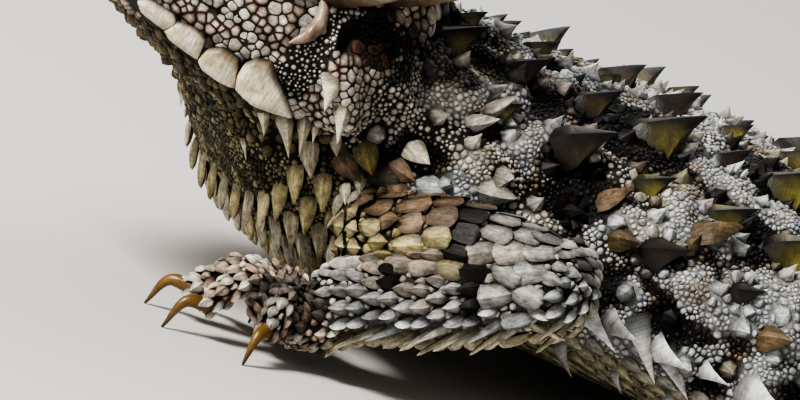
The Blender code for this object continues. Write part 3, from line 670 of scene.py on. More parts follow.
def make_chart():
    """Points over the forms with the part they belong to, their place along and round it and its lie."""
    rows = []
    station, angle = np.meshgrid(np.arange(17.0, 140.0, 0.8), np.arange(0.0, 360.0, 4.0), indexing="ij")
    station, angle = station.ravel(), angle.ravel()
    heading = trunk_heading(station)
    lie = np.stack([np.cos(heading), np.sin(heading), np.zeros(len(station))], axis=1)
    rows.append((trunk_points(station, angle), np.full(len(station), TRUNK_PART), station, angle, lie))
    ahead, angle = np.meshgrid(np.arange(-1.0, 23.6, 0.7), np.arange(0.0, 360.0, 5.0), indexing="ij")
    ahead, angle = ahead.ravel(), angle.ravel()
    rows.append((head_points(ahead, angle), np.full(len(ahead), HEAD_PART), ahead, angle,
                 np.tile(-AHEAD, (len(ahead), 1))))
    for number, limb in enumerate(LIMBS):
        for step, part in enumerate(("upper", "lower")):
            rows += tube_rows(limb[part], limb_radii(limb)[part], range(0, 360, 15), LIMB_PART + number,
                              step + np.linspace(0, 1, 40))
        heading = math.radians(limb["heading"])
        way = np.array((math.cos(heading), math.sin(heading), -0.1))
        turn = np.radians(np.arange(0, 360, 30))
        for height in (-1.0, 0.2, 1.2):
            place = np.array(limb["palm"]) + np.stack(
                [np.cos(turn) * 2.8, np.sin(turn) * 2.8, np.full(len(turn), height)], axis=1)
            rows.append((place, np.full(len(turn), HAND_PART + number), np.full(len(turn), -1.0),
                         np.full(len(turn), 90.0), np.tile(way, (len(turn), 1))))
        for digit, (path, widths, _) in enumerate(digit_paths(limb)):
            rows += tube_rows(path, widths, range(0, 360, 45), HAND_PART + number,
                              digit + np.linspace(0, 0.99, 16))
    points, part, share, angle, lie = (np.concatenate(column) for column in zip(*rows))
    return {"tree": point_tree(points), "part": part, "share": share, "angle": angle, "lie": lie}


def on_chart(points):
    """Part, place along, place round and lie of the chart's point nearest to each point."""
    chart = WORK["chart"]
    nearest = np.array([chart["tree"].find(p)[1] for p in points])
    return chart["part"][nearest], chart["share"][nearest], chart["angle"][nearest], chart["lie"][nearest]


# colour


def mix(first, second, share):
    share = np.clip(np.asarray(share, float), 0.0, 1.0)[..., None]
    return first * (1 - share) + second * share


def midline_distance(station, angle):
    """How far round the back a place is from the middle line, in millimetres."""
    width = smooth_rows(TRUNK, station)[:, 1]
    return np.abs(np.cos(np.radians(angle))) * width


# station, distance from the middle line, length and width of the dark blotches of the back
BLOTCHES = ((30.5, 4.6, 4.2, 3.4), (43.0, 8.6, 4.0, 4.4), (55.5, 9.2, 4.2, 4.6), (67.5, 8.6, 4.0, 4.2),
            (78.0, 6.0, 3.4, 3.2), (86.5, 3.6, 2.6, 2.2))


def blotch_depth(station, side):
    """How deep inside a dark blotch, and how near its pale rear edge, from 0 to 1."""
    inside, rear = np.zeros(len(station)), np.zeros(len(station))
    for middle, out, length, width in BLOTCHES:
        along = (station - middle) / length
        across = (side - out) / width
        reach = np.sqrt(along ** 2 + across ** 2)
        inside = np.maximum(inside, smooth_step(1.05, 0.75, reach))
        edge = smooth_step(0.85, 1.05, reach) * smooth_step(1.55, 1.2, reach) * smooth_step(-0.2, 0.5, along)
        rear = np.maximum(rear, edge)
    return inside, rear


# marks of the neck and shoulder on the left side: place, radius, colour and strength
MARKS = (
    ((-38.6, -11.0, 20.0), 1.9, "dark", 1.0), ((-36.2, -10.4, 19.4), 2.2, "dark", 1.0),
    ((-33.6, -9.6, 19.2), 2.0, "dark", 1.0), ((-31.4, -9.0, 18.6), 1.3, "dark", 0.9),
    ((-35.4, -9.9, 18.6), 1.0, "rust", 0.7), ((-32.2, -9.2, 18.4), 0.9, "rust", 0.8),
    ((-27.6, -7.0, 20.2), 2.4, "dark", 0.8), ((-24.6, -9.0, 18.8), 1.8, "dark", 0.8),
)


def lumps(points):
    """The lumps of the loose skin of the back, from 0 in a valley to 1 on top."""
    return rough_noise(points, 2.6, 5)


# folds of skin on the left side as points along each, its half width and its height
FOLDS = (
    # the ridge of white granules from the ear down the side of the neck
    (((-37.9, -10.9, 18.9), (-36.4, -10.6, 17.2), (-34.6, -10.6, 15.6)), 0.8, 0.55),
    # the folds that run back from it over the shoulder
    (((-35.6, -10.3, 16.2), (-32.5, -11.0, 15.4), (-29.5, -12.2, 14.6), (-26.6, -13.6, 14.0)), 1.0, 0.65),
    (((-33.5, -9.6, 17.6), (-31.2, -9.9, 17.3), (-29.0, -10.2, 17.6)), 0.9, 0.6),
    (((-31.0, -11.8, 14.2), (-27.5, -14.0, 13.0), (-24.0, -16.2, 12.2)), 0.9, 0.6),
    (((-26.1, -11.6, 16.6), (-22.2, -12.4, 16.8), (-19.4, -14.6, 15.5), (-15.0, -16.6, 14.6)), 1.1, 0.5),
    (((-22.5, -15.0, 14.6), (-18.0, -17.2, 13.2), (-13.5, -18.8, 12.6)), 1.0, 0.4),
)


def curve_distance(points, path):
    """How far points are from a bent line, and how far along it each one's nearest place is."""
    path = np.array(path, float)
    best, along = np.full(len(points), np.inf), np.zeros(len(points))
    for k in range(len(path) - 1):
        edge = path[k + 1] - path[k]
        t = np.clip((points - path[k]) @ edge / (edge @ edge), 0, 1)
        away = np.linalg.norm(points - path[k] - t[:, None] * edge, axis=1)
        nearer = away < best
        best, along = np.where(nearer, away, best), np.where(nearer, k + t, along)
    return best, along / (len(path) - 1)


def fold_height(points):
    """How far the folds of the neck and shoulder lift the skin, in millimetres."""
    found = np.zeros(len(points))
    mirror = points * (1, -1, 1)
    for path, half, height in FOLDS:
        for place in (points, mirror):
            away, along = curve_distance(place, path)
            found += height * np.exp(-(away / half) ** 2) * np.minimum(np.sin(np.pi * along) + 0.35, 1.0)
    return found


def markings(points, part, share, angle):
    """The colour of the scales at points of the animal."""
    pale, bluish, straw, olive = tone("pale"), tone("bluish"), tone("straw"), tone("olive")
    rust, tan, dark, belly = tone("rust"), tone("tan"), tone("dark"), tone("belly")
    broad, middle, fine = (rough_noise(points, size, seed) for size, seed in ((5.0, 1), (2.2, 2), (0.9, 3)))
    colour = np.tile(bluish, (len(points), 1))

    trunk = part == TRUNK_PART
    if trunk.any():
        s, a, p = share[trunk], angle[trunk], points[trunk]
        n1, n2, n3 = broad[trunk], middle[trunk], fine[trunk]
        side = midline_distance(s, a)
        width = smooth_rows(TRUNK, s)[:, 1]
        upright = np.sin(np.radians(a))
        out = side / width
        raised = lumps(p)
        back = mix(tan * 0.6, mix(bluish, pale, n3), smooth_step(0.40, 0.54, raised))
        back = mix(back, rust, smooth_step(0.60, 0.68, n2) * 0.6)
        back = mix(back, dark, smooth_step(0.49, 0.44, raised * 0.7 + n1 * 0.3))
        inside, rear = blotch_depth(s + (n2 - 0.5) * 2.4, side + (n1 - 0.5) * 2.4)
        back = mix(back, tone("yellow") * 0.6 + pale * 0.4, rear * smooth_step(0.35, 0.55, n1))
        back = mix(back, dark, inside)
        stripe = smooth_step(1.5, 0.7, side + (n2 - 0.5)) * smooth_step(24, 30, s)
        back = mix(back, mix(pale, bluish, n1), stripe)
        flank = mix(mix(olive, tan, n2), mix(pale, bluish, n1),
                    smooth_step(0.46, 0.55, raised * 0.7 + n3 * 0.3))
        flank = mix(flank, rust, smooth_step(0.60, 0.70, n2) * 0.5)
        flank = mix(flank, dark, smooth_step(0.53, 0.48, raised * 0.6 + n3 * 0.2 + (1 - n2) * 0.2))
        under = mix(belly, straw, n1 * 0.5)
        under = mix(under, dark, smooth_step(0.66, 0.72, n2) * 0.5)
        found = mix(back, flank, smooth_step(0.66, 0.86, out) + (upright < 0))
        found = mix(found, under, smooth_step(-0.15, -0.5, upright))
        chest = smooth_step(37, 33, s) * smooth_step(0.1, -0.25, upright)
        found = mix(found, mix(straw, olive, n2 * 0.5), chest)
        tail = smooth_step(90, 96, s)
        rings = 0.5 + 0.5 * np.cos((s - 95.0) / 9.0 * 2 * np.pi)
        ringed = smooth_step(0.62, 0.85, rings) * smooth_step(-0.3, 0.2, upright)
        tail_colour = mix(mix(tan, bluish, n1), dark, ringed)
        found = mix(found, mix(tail_colour, belly, smooth_step(-0.1, -0.5, upright)), tail)
        throat = smooth_step(26, 22.5, s) * smooth_step(0.2, -0.2, upright)
        found = mix(found, mix(olive * 0.45, straw * 0.75, smooth_step(0.42, 0.62, n3)), throat)
        colour[trunk] = found

    head = part == HEAD_PART
    if head.any():
        p = points[head]
        a, y, v = head_place(p)
        n1, n2, n3 = broad[head], middle[head], fine[head]
        crown = mix(mix(tan, straw, n1), pale, smooth_step(0.4, 0.7, n3) * 0.5)
        cheek = mix(pale, tan, smooth_step(0.5, 0.75, n2) * 0.6)
        found = mix(cheek, crown, smooth_step(7.5, 10.5, v))
        # dark bars run from the eye down to the lip, up over the brow and between the eyes
        for start, slope, half in ((13.6, 0.28, 0.7), (8.6, -0.10, 0.75)):
            bar = np.abs(a - start - slope * (9.0 - v))
            wanted = smooth_step(half + 0.45, half, bar + (n3 - 0.5) * 0.8) * smooth_step(2.9, 4.4, v)
            found = mix(found, dark, wanted * (np.abs(y) > 3.0) * 0.9)
        for start in (9.6, 14.4):
            bar = np.abs(a - start - 0.25 * np.abs(y))
            found = mix(found, dark, smooth_step(1.0, 0.5, bar + (n3 - 0.5) * 0.6) * (v > 10.0) * 0.8)
        under = mix(olive * 0.45, mix(straw, rust, n2) * 0.75, smooth_step(0.42, 0.62, n3))
        found = mix(found, under, smooth_step(0.6, -0.2, v))
        found = mix(found, mix(pale * 0.9, pale, n3), smooth_step(8.8, 8.0, a) * (v < 7.5) * (v > 0.2))
        colour[head] = found

    limb = (part >= LIMB_PART) & (part < HAND_PART)
    if limb.any():
        s, a, p = share[limb], angle[limb], points[limb]
        n1, n2, n3 = broad[limb], middle[limb], fine[limb]
        top = np.sin(np.radians(a))
        found = mix(mix(bluish, pale, n3) * 0.85, mix(tan, olive, n2), smooth_step(0.4, 0.8, n1) * 0.6)
        # the upper arm is wood brown above and straw coloured below, and turns blue grey at the elbow
        upper = mix(straw, olive, smooth_step(0.4, 0.7, n2) * 0.5)
        upper = mix(upper, tone("wood"), smooth_step(0.15, 0.55, top))
        upper = mix(upper, mix(bluish * 0.8, olive, n3 * 0.5), smooth_step(0.66, 0.84, s) * 0.8)
        found = mix(found, upper, smooth_step(0.98, 0.78, s))
        bands = np.cos((s * 2.6 + (n1 - 0.5) * 0.5 + 0.30) * 2 * np.pi)
        bands = np.where(s < 0.98, 1 - np.abs(s - 0.70 + (n1 - 0.5) * 0.1) * 3.0, bands)
        banded = smooth_step(0.88, 0.96, bands + (n3 - 0.5) * 0.2)
        found = mix(found, dark, banded * smooth_step(-0.6, 0.0, top))
        found = mix(found, belly, smooth_step(-0.5, -0.85, top))
        colour[limb] = found

    hand = part >= HAND_PART
    if hand.any():
        s, n1, n2, n3 = share[hand], broad[hand], middle[hand], fine[hand]
        found = mix(tan, pale, smooth_step(0.35, 0.7, n3))
        found = mix(found, dark, smooth_step(0.55, 0.66, n2) * 0.8)
        colour[hand] = found
    for place, radius, name, strength in MARKS:
        for side in (LEFT, RIGHT):
            away = np.linalg.norm(points - np.array(place) * (1, -side, 1), axis=1) + (middle - 0.5) * radius
            wanted = smooth_step(radius * 1.15, radius * 0.8, away) * strength
            wanted = wanted * (1 - smooth_step(0.60, 0.70, fine) * 0.6)
            colour = mix(colour, tone(name), wanted)
    # the folds of the neck and shoulder are white along the top
    ridge = smooth_step(0.20, 0.40, fold_height(points)) * (part <= HEAD_PART)
    return mix(colour, mix(pale, olive, smooth_step(0.6, 0.75, fine) * 0.7), ridge)


def tidy_tree(look):
    look.use_nodes = True
    tree = look.node_tree
    return tree, tree.nodes["Principled BSDF"]


def add_node(tree, kind, links=(), **settings):
    """Adds a node, sets its values and links its sockets: a link is (from node, output, input)."""
    node = tree.nodes.new(kind)
    for name, value in settings.items():
        if name.startswith("in_"):
            key = name[3:]
            node.inputs[int(key) if key.isdigit() else key.replace("_", " ")].default_value = value
        else:
            setattr(node, name, value)
    for source, output, target in links:
        tree.links.new(source.outputs[output], node.inputs[target])
    return node


def keratin_look(name, roughness, fleck, bump, specular, dirt=0.4, streaks=True, coat=0.0):
    """Dry reptile scale: matte with a faint sheen where light grazes it.

    The colour comes from the Tint attribute. Streaks along each scale break it up, from its Grain
    attribute, or flecks where it has none, and soil lies in cloudy patches about 0.8 mm across.
    """
    look = bpy.data.materials.new(name)
    tree, shader = tidy_tree(look)
    tint = add_node(tree, "ShaderNodeAttribute", attribute_name="Tint", attribute_type="GEOMETRY")
    world = add_node(tree, "ShaderNodeTexCoord")
    if streaks:
        grain = add_node(tree, "ShaderNodeAttribute", attribute_name="Grain", attribute_type="GEOMETRY")
        place = add_node(tree, "ShaderNodeVectorMath", [(grain, "Vector", 0)], operation="MULTIPLY",
                         in_1=(0.0013, 0.0060, 1.0))
    else:
        place = add_node(tree, "ShaderNodeVectorMath", [(world, "Object", 0)], operation="MULTIPLY",
                         in_1=(3.6, 3.6, 3.6))
    flecks = add_node(tree, "ShaderNodeTexNoise", [(place, "Vector", "Vector")], in_Scale=1000.0,
                      in_Detail=4.0, in_Roughness=0.7)
    ramp = add_node(tree, "ShaderNodeMapRange", [(flecks, "Fac", "Value")], in_1=0.32, in_2=0.66,
                    in_3=1.0 - fleck, in_4=1.0 + fleck * 0.55)
    shaded = add_node(tree, "ShaderNodeVectorMath", [(tint, "Color", 0), (ramp, "Result", "Scale")],
                      operation="SCALE")
    soil = add_node(tree, "ShaderNodeTexNoise", [(world, "Object", "Vector")], in_Scale=1000 / 0.8,
                    in_Detail=5.0, in_Roughness=0.75)
    patch = add_node(tree, "ShaderNodeMapRange", [(soil, "Fac", "Value")], in_1=0.40, in_2=0.58,
                     in_3=1.0 - dirt, in_4=1.0)
    soiled = add_node(tree, "ShaderNodeVectorMath", [(shaded, "Vector", 0), (patch, "Result", "Scale")],
                      operation="SCALE")
    tree.links.new(soiled.outputs["Vector"], shader.inputs["Base Color"])
    gloss = add_node(tree, "ShaderNodeMapRange", [(flecks, "Fac", "Value")], in_1=0.3, in_2=0.7,
                     in_3=roughness + 0.12, in_4=roughness - 0.10)
    tree.links.new(gloss.outputs["Result"], shader.inputs["Roughness"])
    pits = add_node(tree, "ShaderNodeTexNoise", [(world, "Object", "Vector")], in_Scale=1000 / 0.14,
                    in_Detail=3.0, in_Roughness=0.6)
    height = add_node(tree, "ShaderNodeMath", [(pits, "Fac", 0), (flecks, "Fac", 1)], operation="ADD")
    raised = add_node(tree, "ShaderNodeBump", [(height, "Value", "Height")], in_Strength=bump,
                      in_Distance=0.00005)
    tree.links.new(raised.outputs["Normal"], shader.inputs["Normal"])
    shader.inputs["Specular IOR Level"].default_value = specular
    shader.inputs["IOR"].default_value = 1.5
    shader.inputs["Coat Weight"].default_value = coat
    shader.inputs["Coat Roughness"].default_value = 0.04
    return look


def looks(name):
    """The finishes, each made once."""
    if "looks" not in WORK:
        WORK["looks"] = {
            # bare hide between the scales: darker and a little smoother than they are
            "hide": keratin_look("lizard_hide", 0.66, 0.35, 0.5, 0.2, streaks=False),
            # small dry scales
            "scale": keratin_look("dry_scale_keratin", 0.52, 0.52, 0.7, 0.35, 0.5),
            # the smooth damp skin of the ears' folds
            "fold": keratin_look("bare_ear_skin", 0.34, 0.2, 0.3, 0.5, 0.25, False),
            # spines: thicker keratin, smoother and slightly waxy
            "spine": keratin_look("smooth_spine_keratin", 0.42, 0.34, 0.35, 0.45, 0.4),
            # shields of the jaw: the same, with fine streaks down them
            "shield": keratin_look("streaked_shield_keratin", 0.40, 0.40, 0.35, 0.45, 0.3),
            # horns: dense, worn keratin
            "horn": keratin_look("worn_horn_keratin", 0.46, 0.26, 0.35, 0.45, 0.3, False),
            # claws: thin translucent-looking keratin with a light gloss
            "claw": keratin_look("claw_keratin", 0.34, 0.20, 0.2, 0.5, 0.2, False),
            # eyes: wet and clear over the iris
            "eye": keratin_look("wet_eye", 0.28, 0.10, 0.0, 0.5, 0.0, False, 1.0),
        }
    return WORK["looks"][name]


# skin


def mirrored(point, side):
    """A head place written for the right side, on the given side."""
    return (point[0], side * point[1], point[2])


def body_forms():
    """The body's rounded forms, each one closed, that the skin is drawn round."""
    def trunk(share, angle):
        return trunk_points(TRUNK_START + (TAIL_END - TRUNK_START) * share, angle,
                            share=np.minimum(np.minimum(share, 1 - share) / 0.012, 1.0))

    def head(share, angle):
        ahead = HEAD[0, 0] + (HEAD[-1, 0] - HEAD[0, 0]) * share ** 0.8
        return head_points(ahead, angle, share=np.minimum(np.minimum(share, 1 - share) / 0.03, 1.0))

    made = [shaped_sphere("trunk_form", 72, 200, trunk), shaped_sphere("head_form", 64, 60, head)]
    for side in (LEFT, RIGHT):
        eye = head_world(*mirrored(EYE_CENTRE, side))
        made.append(shaped_ball("lid_form", eye, (LID_RADIUS,) * 3))
        brow = [head_world(*mirrored(place, side)) for place in BROW]
        made.append(shaped_tube("brow_form", brow, BROW_RADII, 30, 14))
        top, foot = head_world(*mirrored(JOWL_TOP, side)), head_world(*mirrored(JOWL_BOTTOM, side))
        made.append(shaped_tube("jowl_form", [top, (top + foot) / 2, foot], (0.9, 1.35, 1.25), 20, 14))
    for limb in LIMBS:
        radii = limb_radii(limb)
        made.append(shaped_tube("upper_form", limb["upper"], radii["upper"], 30, 24))
        made.append(shaped_tube("lower_form", limb["lower"], radii["lower"], 30, 24))
        made.append(shaped_ball("palm_form", limb["palm"], PALM_RADII))
        for path, widths, _ in digit_paths(limb):
            made.append(shaped_tube("digit_form", path, widths, 16, 14))
    return made


def mouth_place(points):
    """How far above the mouth's line points of the head are, and how far ahead of its corner."""
    ahead, _, up = head_place(points)
    return up - MOUTH_HEIGHT, ahead - MOUTH_CORNER


def relief(points, part, share, angle):
    """How far the skin stands out from the plain form, in millimetres."""
    found = fold_height(points)
    trunk = part == TRUNK_PART
    upright = np.sin(np.radians(angle))
    loose = trunk * smooth_step(23, 28, share) * smooth_step(92, 84, share) * smooth_step(-0.45, 0.1, upright)
    found += loose * (lumps(points) - 0.52) * 1.9
    found += loose * (lump_noise(points, 1.2, 6) - 0.5) * 0.4
    head = part == HEAD_PART
    height, ahead = mouth_place(points)
    found -= head * 0.45 * np.exp(-(height / 0.34) ** 2) * smooth_step(-0.4, 0.8, ahead)
    return found


def skin_colours(points, part, share, angle):
    scale = markings(points, part, share, angle)
    bare = tone("skin")
    under = smooth_step(-0.1, -0.6, np.sin(np.radians(angle))) * ((part == TRUNK_PART) | (part >= LIMB_PART))
    under = under * (1 - (part == TRUNK_PART) * smooth_step(38, 34, share))
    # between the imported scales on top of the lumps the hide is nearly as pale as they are
    packed = smooth_step(0.52, 0.60, lumps(points)) * (part == TRUNK_PART) * smooth_step(26, 30, share)
    return mix(mix(bare * 0.7, scale * 0.4, 0.10), scale * 0.55, np.maximum(under * 0.8, packed * 0.85))


def carve(made, cutter):
    """Cuts a closed form out of a piece and deletes the form."""
    apply_modifier(made, "BOOLEAN", operation="DIFFERENCE", object=cutter, solver="MANIFOLD")
    bpy.data.objects.remove(cutter)


class LIZARD_OT_skin(bpy.types.Operator):
    """Draw one closed skin round the body's forms, with its folds, lids, mouth and markings"""

    bl_idname = "lizard.skin"
    bl_label = "Skin"

    def execute(self, context):
        forms = body_forms()
        select_only(*forms)
        bpy.ops.object.join()
        skin = bpy.context.object
        skin.name = skin.data.name = "scaled_skin"
        apply_modifier(skin, "REMESH", mode="VOXEL", voxel_size=sizes().skin_voxel, adaptivity=0.0)
        apply_modifier(skin, "SMOOTH", factor=0.5, iterations=5)
        WORK["chart"] = make_chart()
        points, normals = read_surface(skin.data)
        place = on_chart(points)
        lift = relief(points, *place[:3]) - sizes().coat_depth / MM
        write_points(skin.data, to_model(points + normals * lift[:, None]))
        for side in (LEFT, RIGHT):
            eye = head_world(*mirrored(EYE_CENTRE, side))
            outer = head_world(EYE_CENTRE[0], side * (EYE_CENTRE[1] + EYE_RADIUS), EYE_CENTRE[2])
            for cutter in (shaped_ball("socket_cutter", eye, (EYE_RADIUS + 0.08,) * 3, 48, 32),
                           shaped_ball("lid_cutter", outer, LID_OPENING, 32, 24, HEAD_AXES)):
                carve(skin, cutter)
            ear = head_world(EAR[0], side * (EAR[1] + EAR_OUT), EAR[2])
            nostril = head_world(*mirrored(NOSTRIL, side))
            for pit, radii in ((ear, (0.8, 1.3, 1.5)), (nostril, (0.5, 0.5, 0.4))):
                carve(skin, shaped_ball("pit_cutter", pit, radii, 20, 14, HEAD_AXES))
        points, _ = read_surface(skin.data)
        place = on_chart(points)
        store_colours(skin.data, skin_colours(points, *place[:3]))
        for layer in list(skin.data.uv_layers):
            skin.data.uv_layers.remove(layer)
        skin.data.uv_layers.new(name="OFBake")
        select_only(skin)
        edit_whole(bpy.ops.uv.smart_project, angle_limit=math.radians(66), island_margin=0.002)
        skin.data.shade_smooth()
        dress(skin, looks("hide"))
        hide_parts(*FLESH)
        keep_skin(skin)
        return {"FINISHED"}


FLESH = ["head", "neck", "torso", "tail_base", "tail_tip"]
FLESH += [f"{part}_{side}" for side in ("left", "right")
          for part in ("upper_arm", "forearm", "hand", "thigh", "shin", "foot")]


def keep_skin(skin):
    """Keeps the skin's surface as triangles for the scales to be set on."""
    mesh = skin.data
    mesh.calc_loop_triangles()
    count = len(mesh.loop_triangles)
    corners, loops = np.empty(count * 3, np.int32), np.empty(count * 3, np.int32)
    mesh.loop_triangles.foreach_get("vertices", corners)
    mesh.loop_triangles.foreach_get("loops", loops)
    spots = np.empty(len(mesh.loops) * 2)
    mesh.uv_layers["OFBake"].data.foreach_get("uv", spots)
    points, normals = read_surface(mesh)
    corners = corners.reshape(-1, 3)
    WORK["skin"] = {
        "points": points, "normals": normals, "corners": corners,
        "spots": spots.reshape(-1, 2)[loops].reshape(-1, 3, 2),
        "tree": BVHTree.FromPolygons(points.tolist(), corners.tolist()),
    }


def on_skin(points):
    """The skin's nearest point, smooth normal, patch of the unwrap and distance for each point."""
    skin = WORK["skin"]
    places, _, index, away = zip(*(skin["tree"].find_nearest(point) for point in points))
    places, index = np.array(places), np.array(index)
    corners = skin["corners"][index]
    a, b, c = (skin["points"][corners[:, k]] for k in range(3))
    v0, v1, v2 = b - a, c - a, places - a
    d00, d01, d11 = (v0 * v0).sum(1), (v0 * v1).sum(1), (v1 * v1).sum(1)
    d20, d21 = (v2 * v0).sum(1), (v2 * v1).sum(1)
    under = np.maximum(d00 * d11 - d01 * d01, 1e-12)
    v = (d11 * d20 - d01 * d21) / under
    w = (d00 * d21 - d01 * d20) / under
    share = np.stack([1 - v - w, v, w], axis=1)
    smooth = unit((skin["normals"][corners] * share[..., None]).sum(1))
    spots = (skin["spots"][index] * share[..., None]).sum(1)
    return places, smooth, spots, np.array(away)


# shields of the jaw

# corners of the left side's shields in the head's frame: ahead, to the side and up
JAW_SHIELDS = [
    ((16.71, -7.70, 0.87), (16.08, -7.90, 1.37), (14.60, -8.60, 1.32), (14.29, -8.70, 1.03),
     (14.51, -8.30, 0.29), (16.06, -7.60, 0.44)),
    ((14.51, -8.30, 0.29), (14.29, -8.70, 1.03), (13.39, -9.20, 1.29), (12.56, -9.70, 1.08),
     (12.07, -9.30, -0.10), (12.91, -8.90, -0.08), (13.96, -8.40, 0.00)),
    ((12.07, -9.30, -0.10), (12.19, -9.80, 0.62), (11.76, -10.40, 1.13), (10.68, -11.00, 1.17),
     (9.64, -10.60, -0.34), (10.61, -10.10, -0.49), (11.63, -9.50, -0.42)),
    # the last is a broad curved spine whose tip is given three times, so that it stays sharp
    ((9.64, -10.60, -0.34), (10.18, -11.00, 0.47), (10.32, -11.20, 1.09), (10.05, -11.60, 1.73),
     (9.23, -11.90, 2.01), (8.39, -12.30, 1.22), (7.61, -12.60, 0.70), (6.63, -12.80, 0.06),
     (6.63, -12.80, 0.06), (6.63, -12.80, 0.06), (7.69, -12.20, -0.32), (8.58, -11.50, -0.57)),
]
# of the three large shields, the spine behind them and then each smaller one in front
SHIELD_THICKNESS = (1.15, 1.15, 1.15, 1.7, 0.9)
# ahead, lower and upper edge of the smaller shields in front of them
FRONT_EDGES = ((16.75, 0.50, 1.55), (19.0, 0.75, 1.80), (20.9, 1.05, 2.05), (22.4, 1.35, 2.25))


def front_shields():
    found = []
    for (a0, low0, high0), (a1, low1, high1) in zip(FRONT_EDGES, FRONT_EDGES[1:]):
        corners = []
        for a, v in ((a1, low1), (a1, high1), ((a0 + a1) / 2, (high0 + high1) / 2 + 0.08), (a0, high0),
                     (a0, low0), ((a0 + a1) / 2, (low0 + low1) / 2 - 0.08)):
            corners.append((a, -float(head_half_width(a, v)[0]), v))
        found.append(tuple(corners))
    return found


JAW_SHIELDS += front_shields()


def rounded(corners):
    """A closed outline with its corners cut a little smooth."""
    for share in (0.09, 0.24):
        after = np.roll(corners, -1, axis=0)
        corners = np.stack([corners * (1 - share) + after * share,
                            corners * share + after * (1 - share)], axis=1).reshape(-1, 3)
    return corners


def shield_part(outline, thick, side):
    """A plate over an outline: a sunk edge, a raised shoulder and a slightly crowned top."""
    rim = rounded(np.array(outline, float))
    middle = rim.mean(axis=0)
    spread = rim - middle
    normal = np.linalg.svd(spread)[2][2]
    if normal[1] * side < 0:
        normal = -normal
    rings = ((1.03, -0.40), (1.01, 0.02), (0.975, 0.12), (0.88, 0.20), (0.6, 0.25), (0.3, 0.27))
    points = [middle + spread * share + normal * up * thick for share, up in rings]
    points.append([middle + normal * 0.28 * thick])
    count = len(rim)
    faces = ring_faces(len(rings), count)
    shares = np.array([share for share, _ in rings for _ in range(count)] + [0.0])
    return np.concatenate(points), faces, shares, middle, normal


class LIZARD_OT_shields(bpy.types.Operator):
    """Lay the row of ivory shields along each side of the jaw, with the spine at its corner"""

    bl_idname = "lizard.shields"
    bl_label = "Jaw shields"

    def execute(self, context):
        batch = Batch()
        for side in (LEFT, RIGHT):
            for number, shield in enumerate(JAW_SHIELDS):
                outline = [head_world(a, -side * y, v) for a, y, v in shield]
                thick = SHIELD_THICKNESS[min(number, len(SHIELD_THICKNESS) - 1)]
                points, faces, shares, middle, normal = shield_part(outline, thick, side)
                _, _, up = head_place(points)
                low, high = up.min(), up.max()
                worn = rough_noise(points, 0.8, 21)
                tints = mix(tone("ivory"), tone("straw"), smooth_step(0.4, 0.8, worn) * 0.55)
                upper = smooth_step(0.50, 0.95, (up - low) / (high - low) + (worn - 0.5) * 0.5)
                tints = mix(tints, tone("wood") * 0.8, upper * smooth_step(0.3, 0.92, shares) * 0.9)
                tints = mix(tints, tone("dark") * 0.6, smooth_step(1.0, 1.03, shares))
                _, _, spots, _ = on_skin([middle])
                first = unit(ABOVE - normal * (ABOVE @ normal))
                second = np.cross(normal, first)
                batch.add(points[None], turned_out(points[None], faces), tints[None],
                          *marks(spots, points[None], middle[None], first[None], second[None]))
        batch.build("jaw_shields", looks("shield"), sharp=50.0)
        return {"FINISHED"}


# horns, eyes and claws


def paint(made, colours):
    for layer in list(made.data.attributes):
        if layer.name == "Tint":
            made.data.attributes.remove(layer)
    store_colours(made.data, colours)


class LIZARD_OT_horns(bpy.types.Operator):
    """Grow the four smooth, faintly ringed horns on each side of the back of the head"""

    bl_idname = "lizard.horns"
    bl_label = "Horns"

    def execute(self, context):
        for kind, base, length, radius, leans in HORNS:
            for side in (LEFT, RIGHT):
                root = head_world(base[0], side * base[1], base[2])
                back, out, up = leans
                way = unit(head_world(-back, side * out, up) - head_world(0, 0, 0))
                path = [root - way * 2.5, root, root + way * length * 0.5,
                        root + way * length + np.array((0, 0, 0.14)) * length]
                horn = shaped_tube(f"{kind}_{SIDE_NAMES[side]}_horn", path,
                                   (radius * 1.05, radius, radius * 0.62, 0.16), 110, 36)
                points, normals = read_surface(horn.data)
                along = (points - root) @ way
                rings = np.sin(along * 5.2 + 0.8 * np.sin(along * 1.7))
                rings = rings * smooth_step(length * 0.7, 0.0, along)
                swell = 0.035 * rings + 0.05 * (rough_noise(points, 1.4, 4) - 0.5) - 0.03
                write_points(horn.data, to_model(points + normals * swell[:, None]))
                worn = rough_noise(points, 1.3, 8)
                share = along / length
                colours = mix(tone("wood") * 0.7, tone("ivory") * 0.75, smooth_step(0.1, 0.8, share))
                colours = mix(colours, tone("rust") * 0.8, smooth_step(0.5, 0.8, worn) * 0.4)
                colours = mix(colours, tone("dark") * 2.0, smooth_step(0.72, 1.02, share) * 0.65)
                colours = mix(colours, tone("dark"), smooth_step(0.12, -0.12, share) * 0.7)
                paint(horn, colours)
                horn.data.shade_smooth()
                dress(horn, looks("horn"))
                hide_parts(f"{kind}_{SIDE_NAMES[side]}")
        return {"FINISHED"}


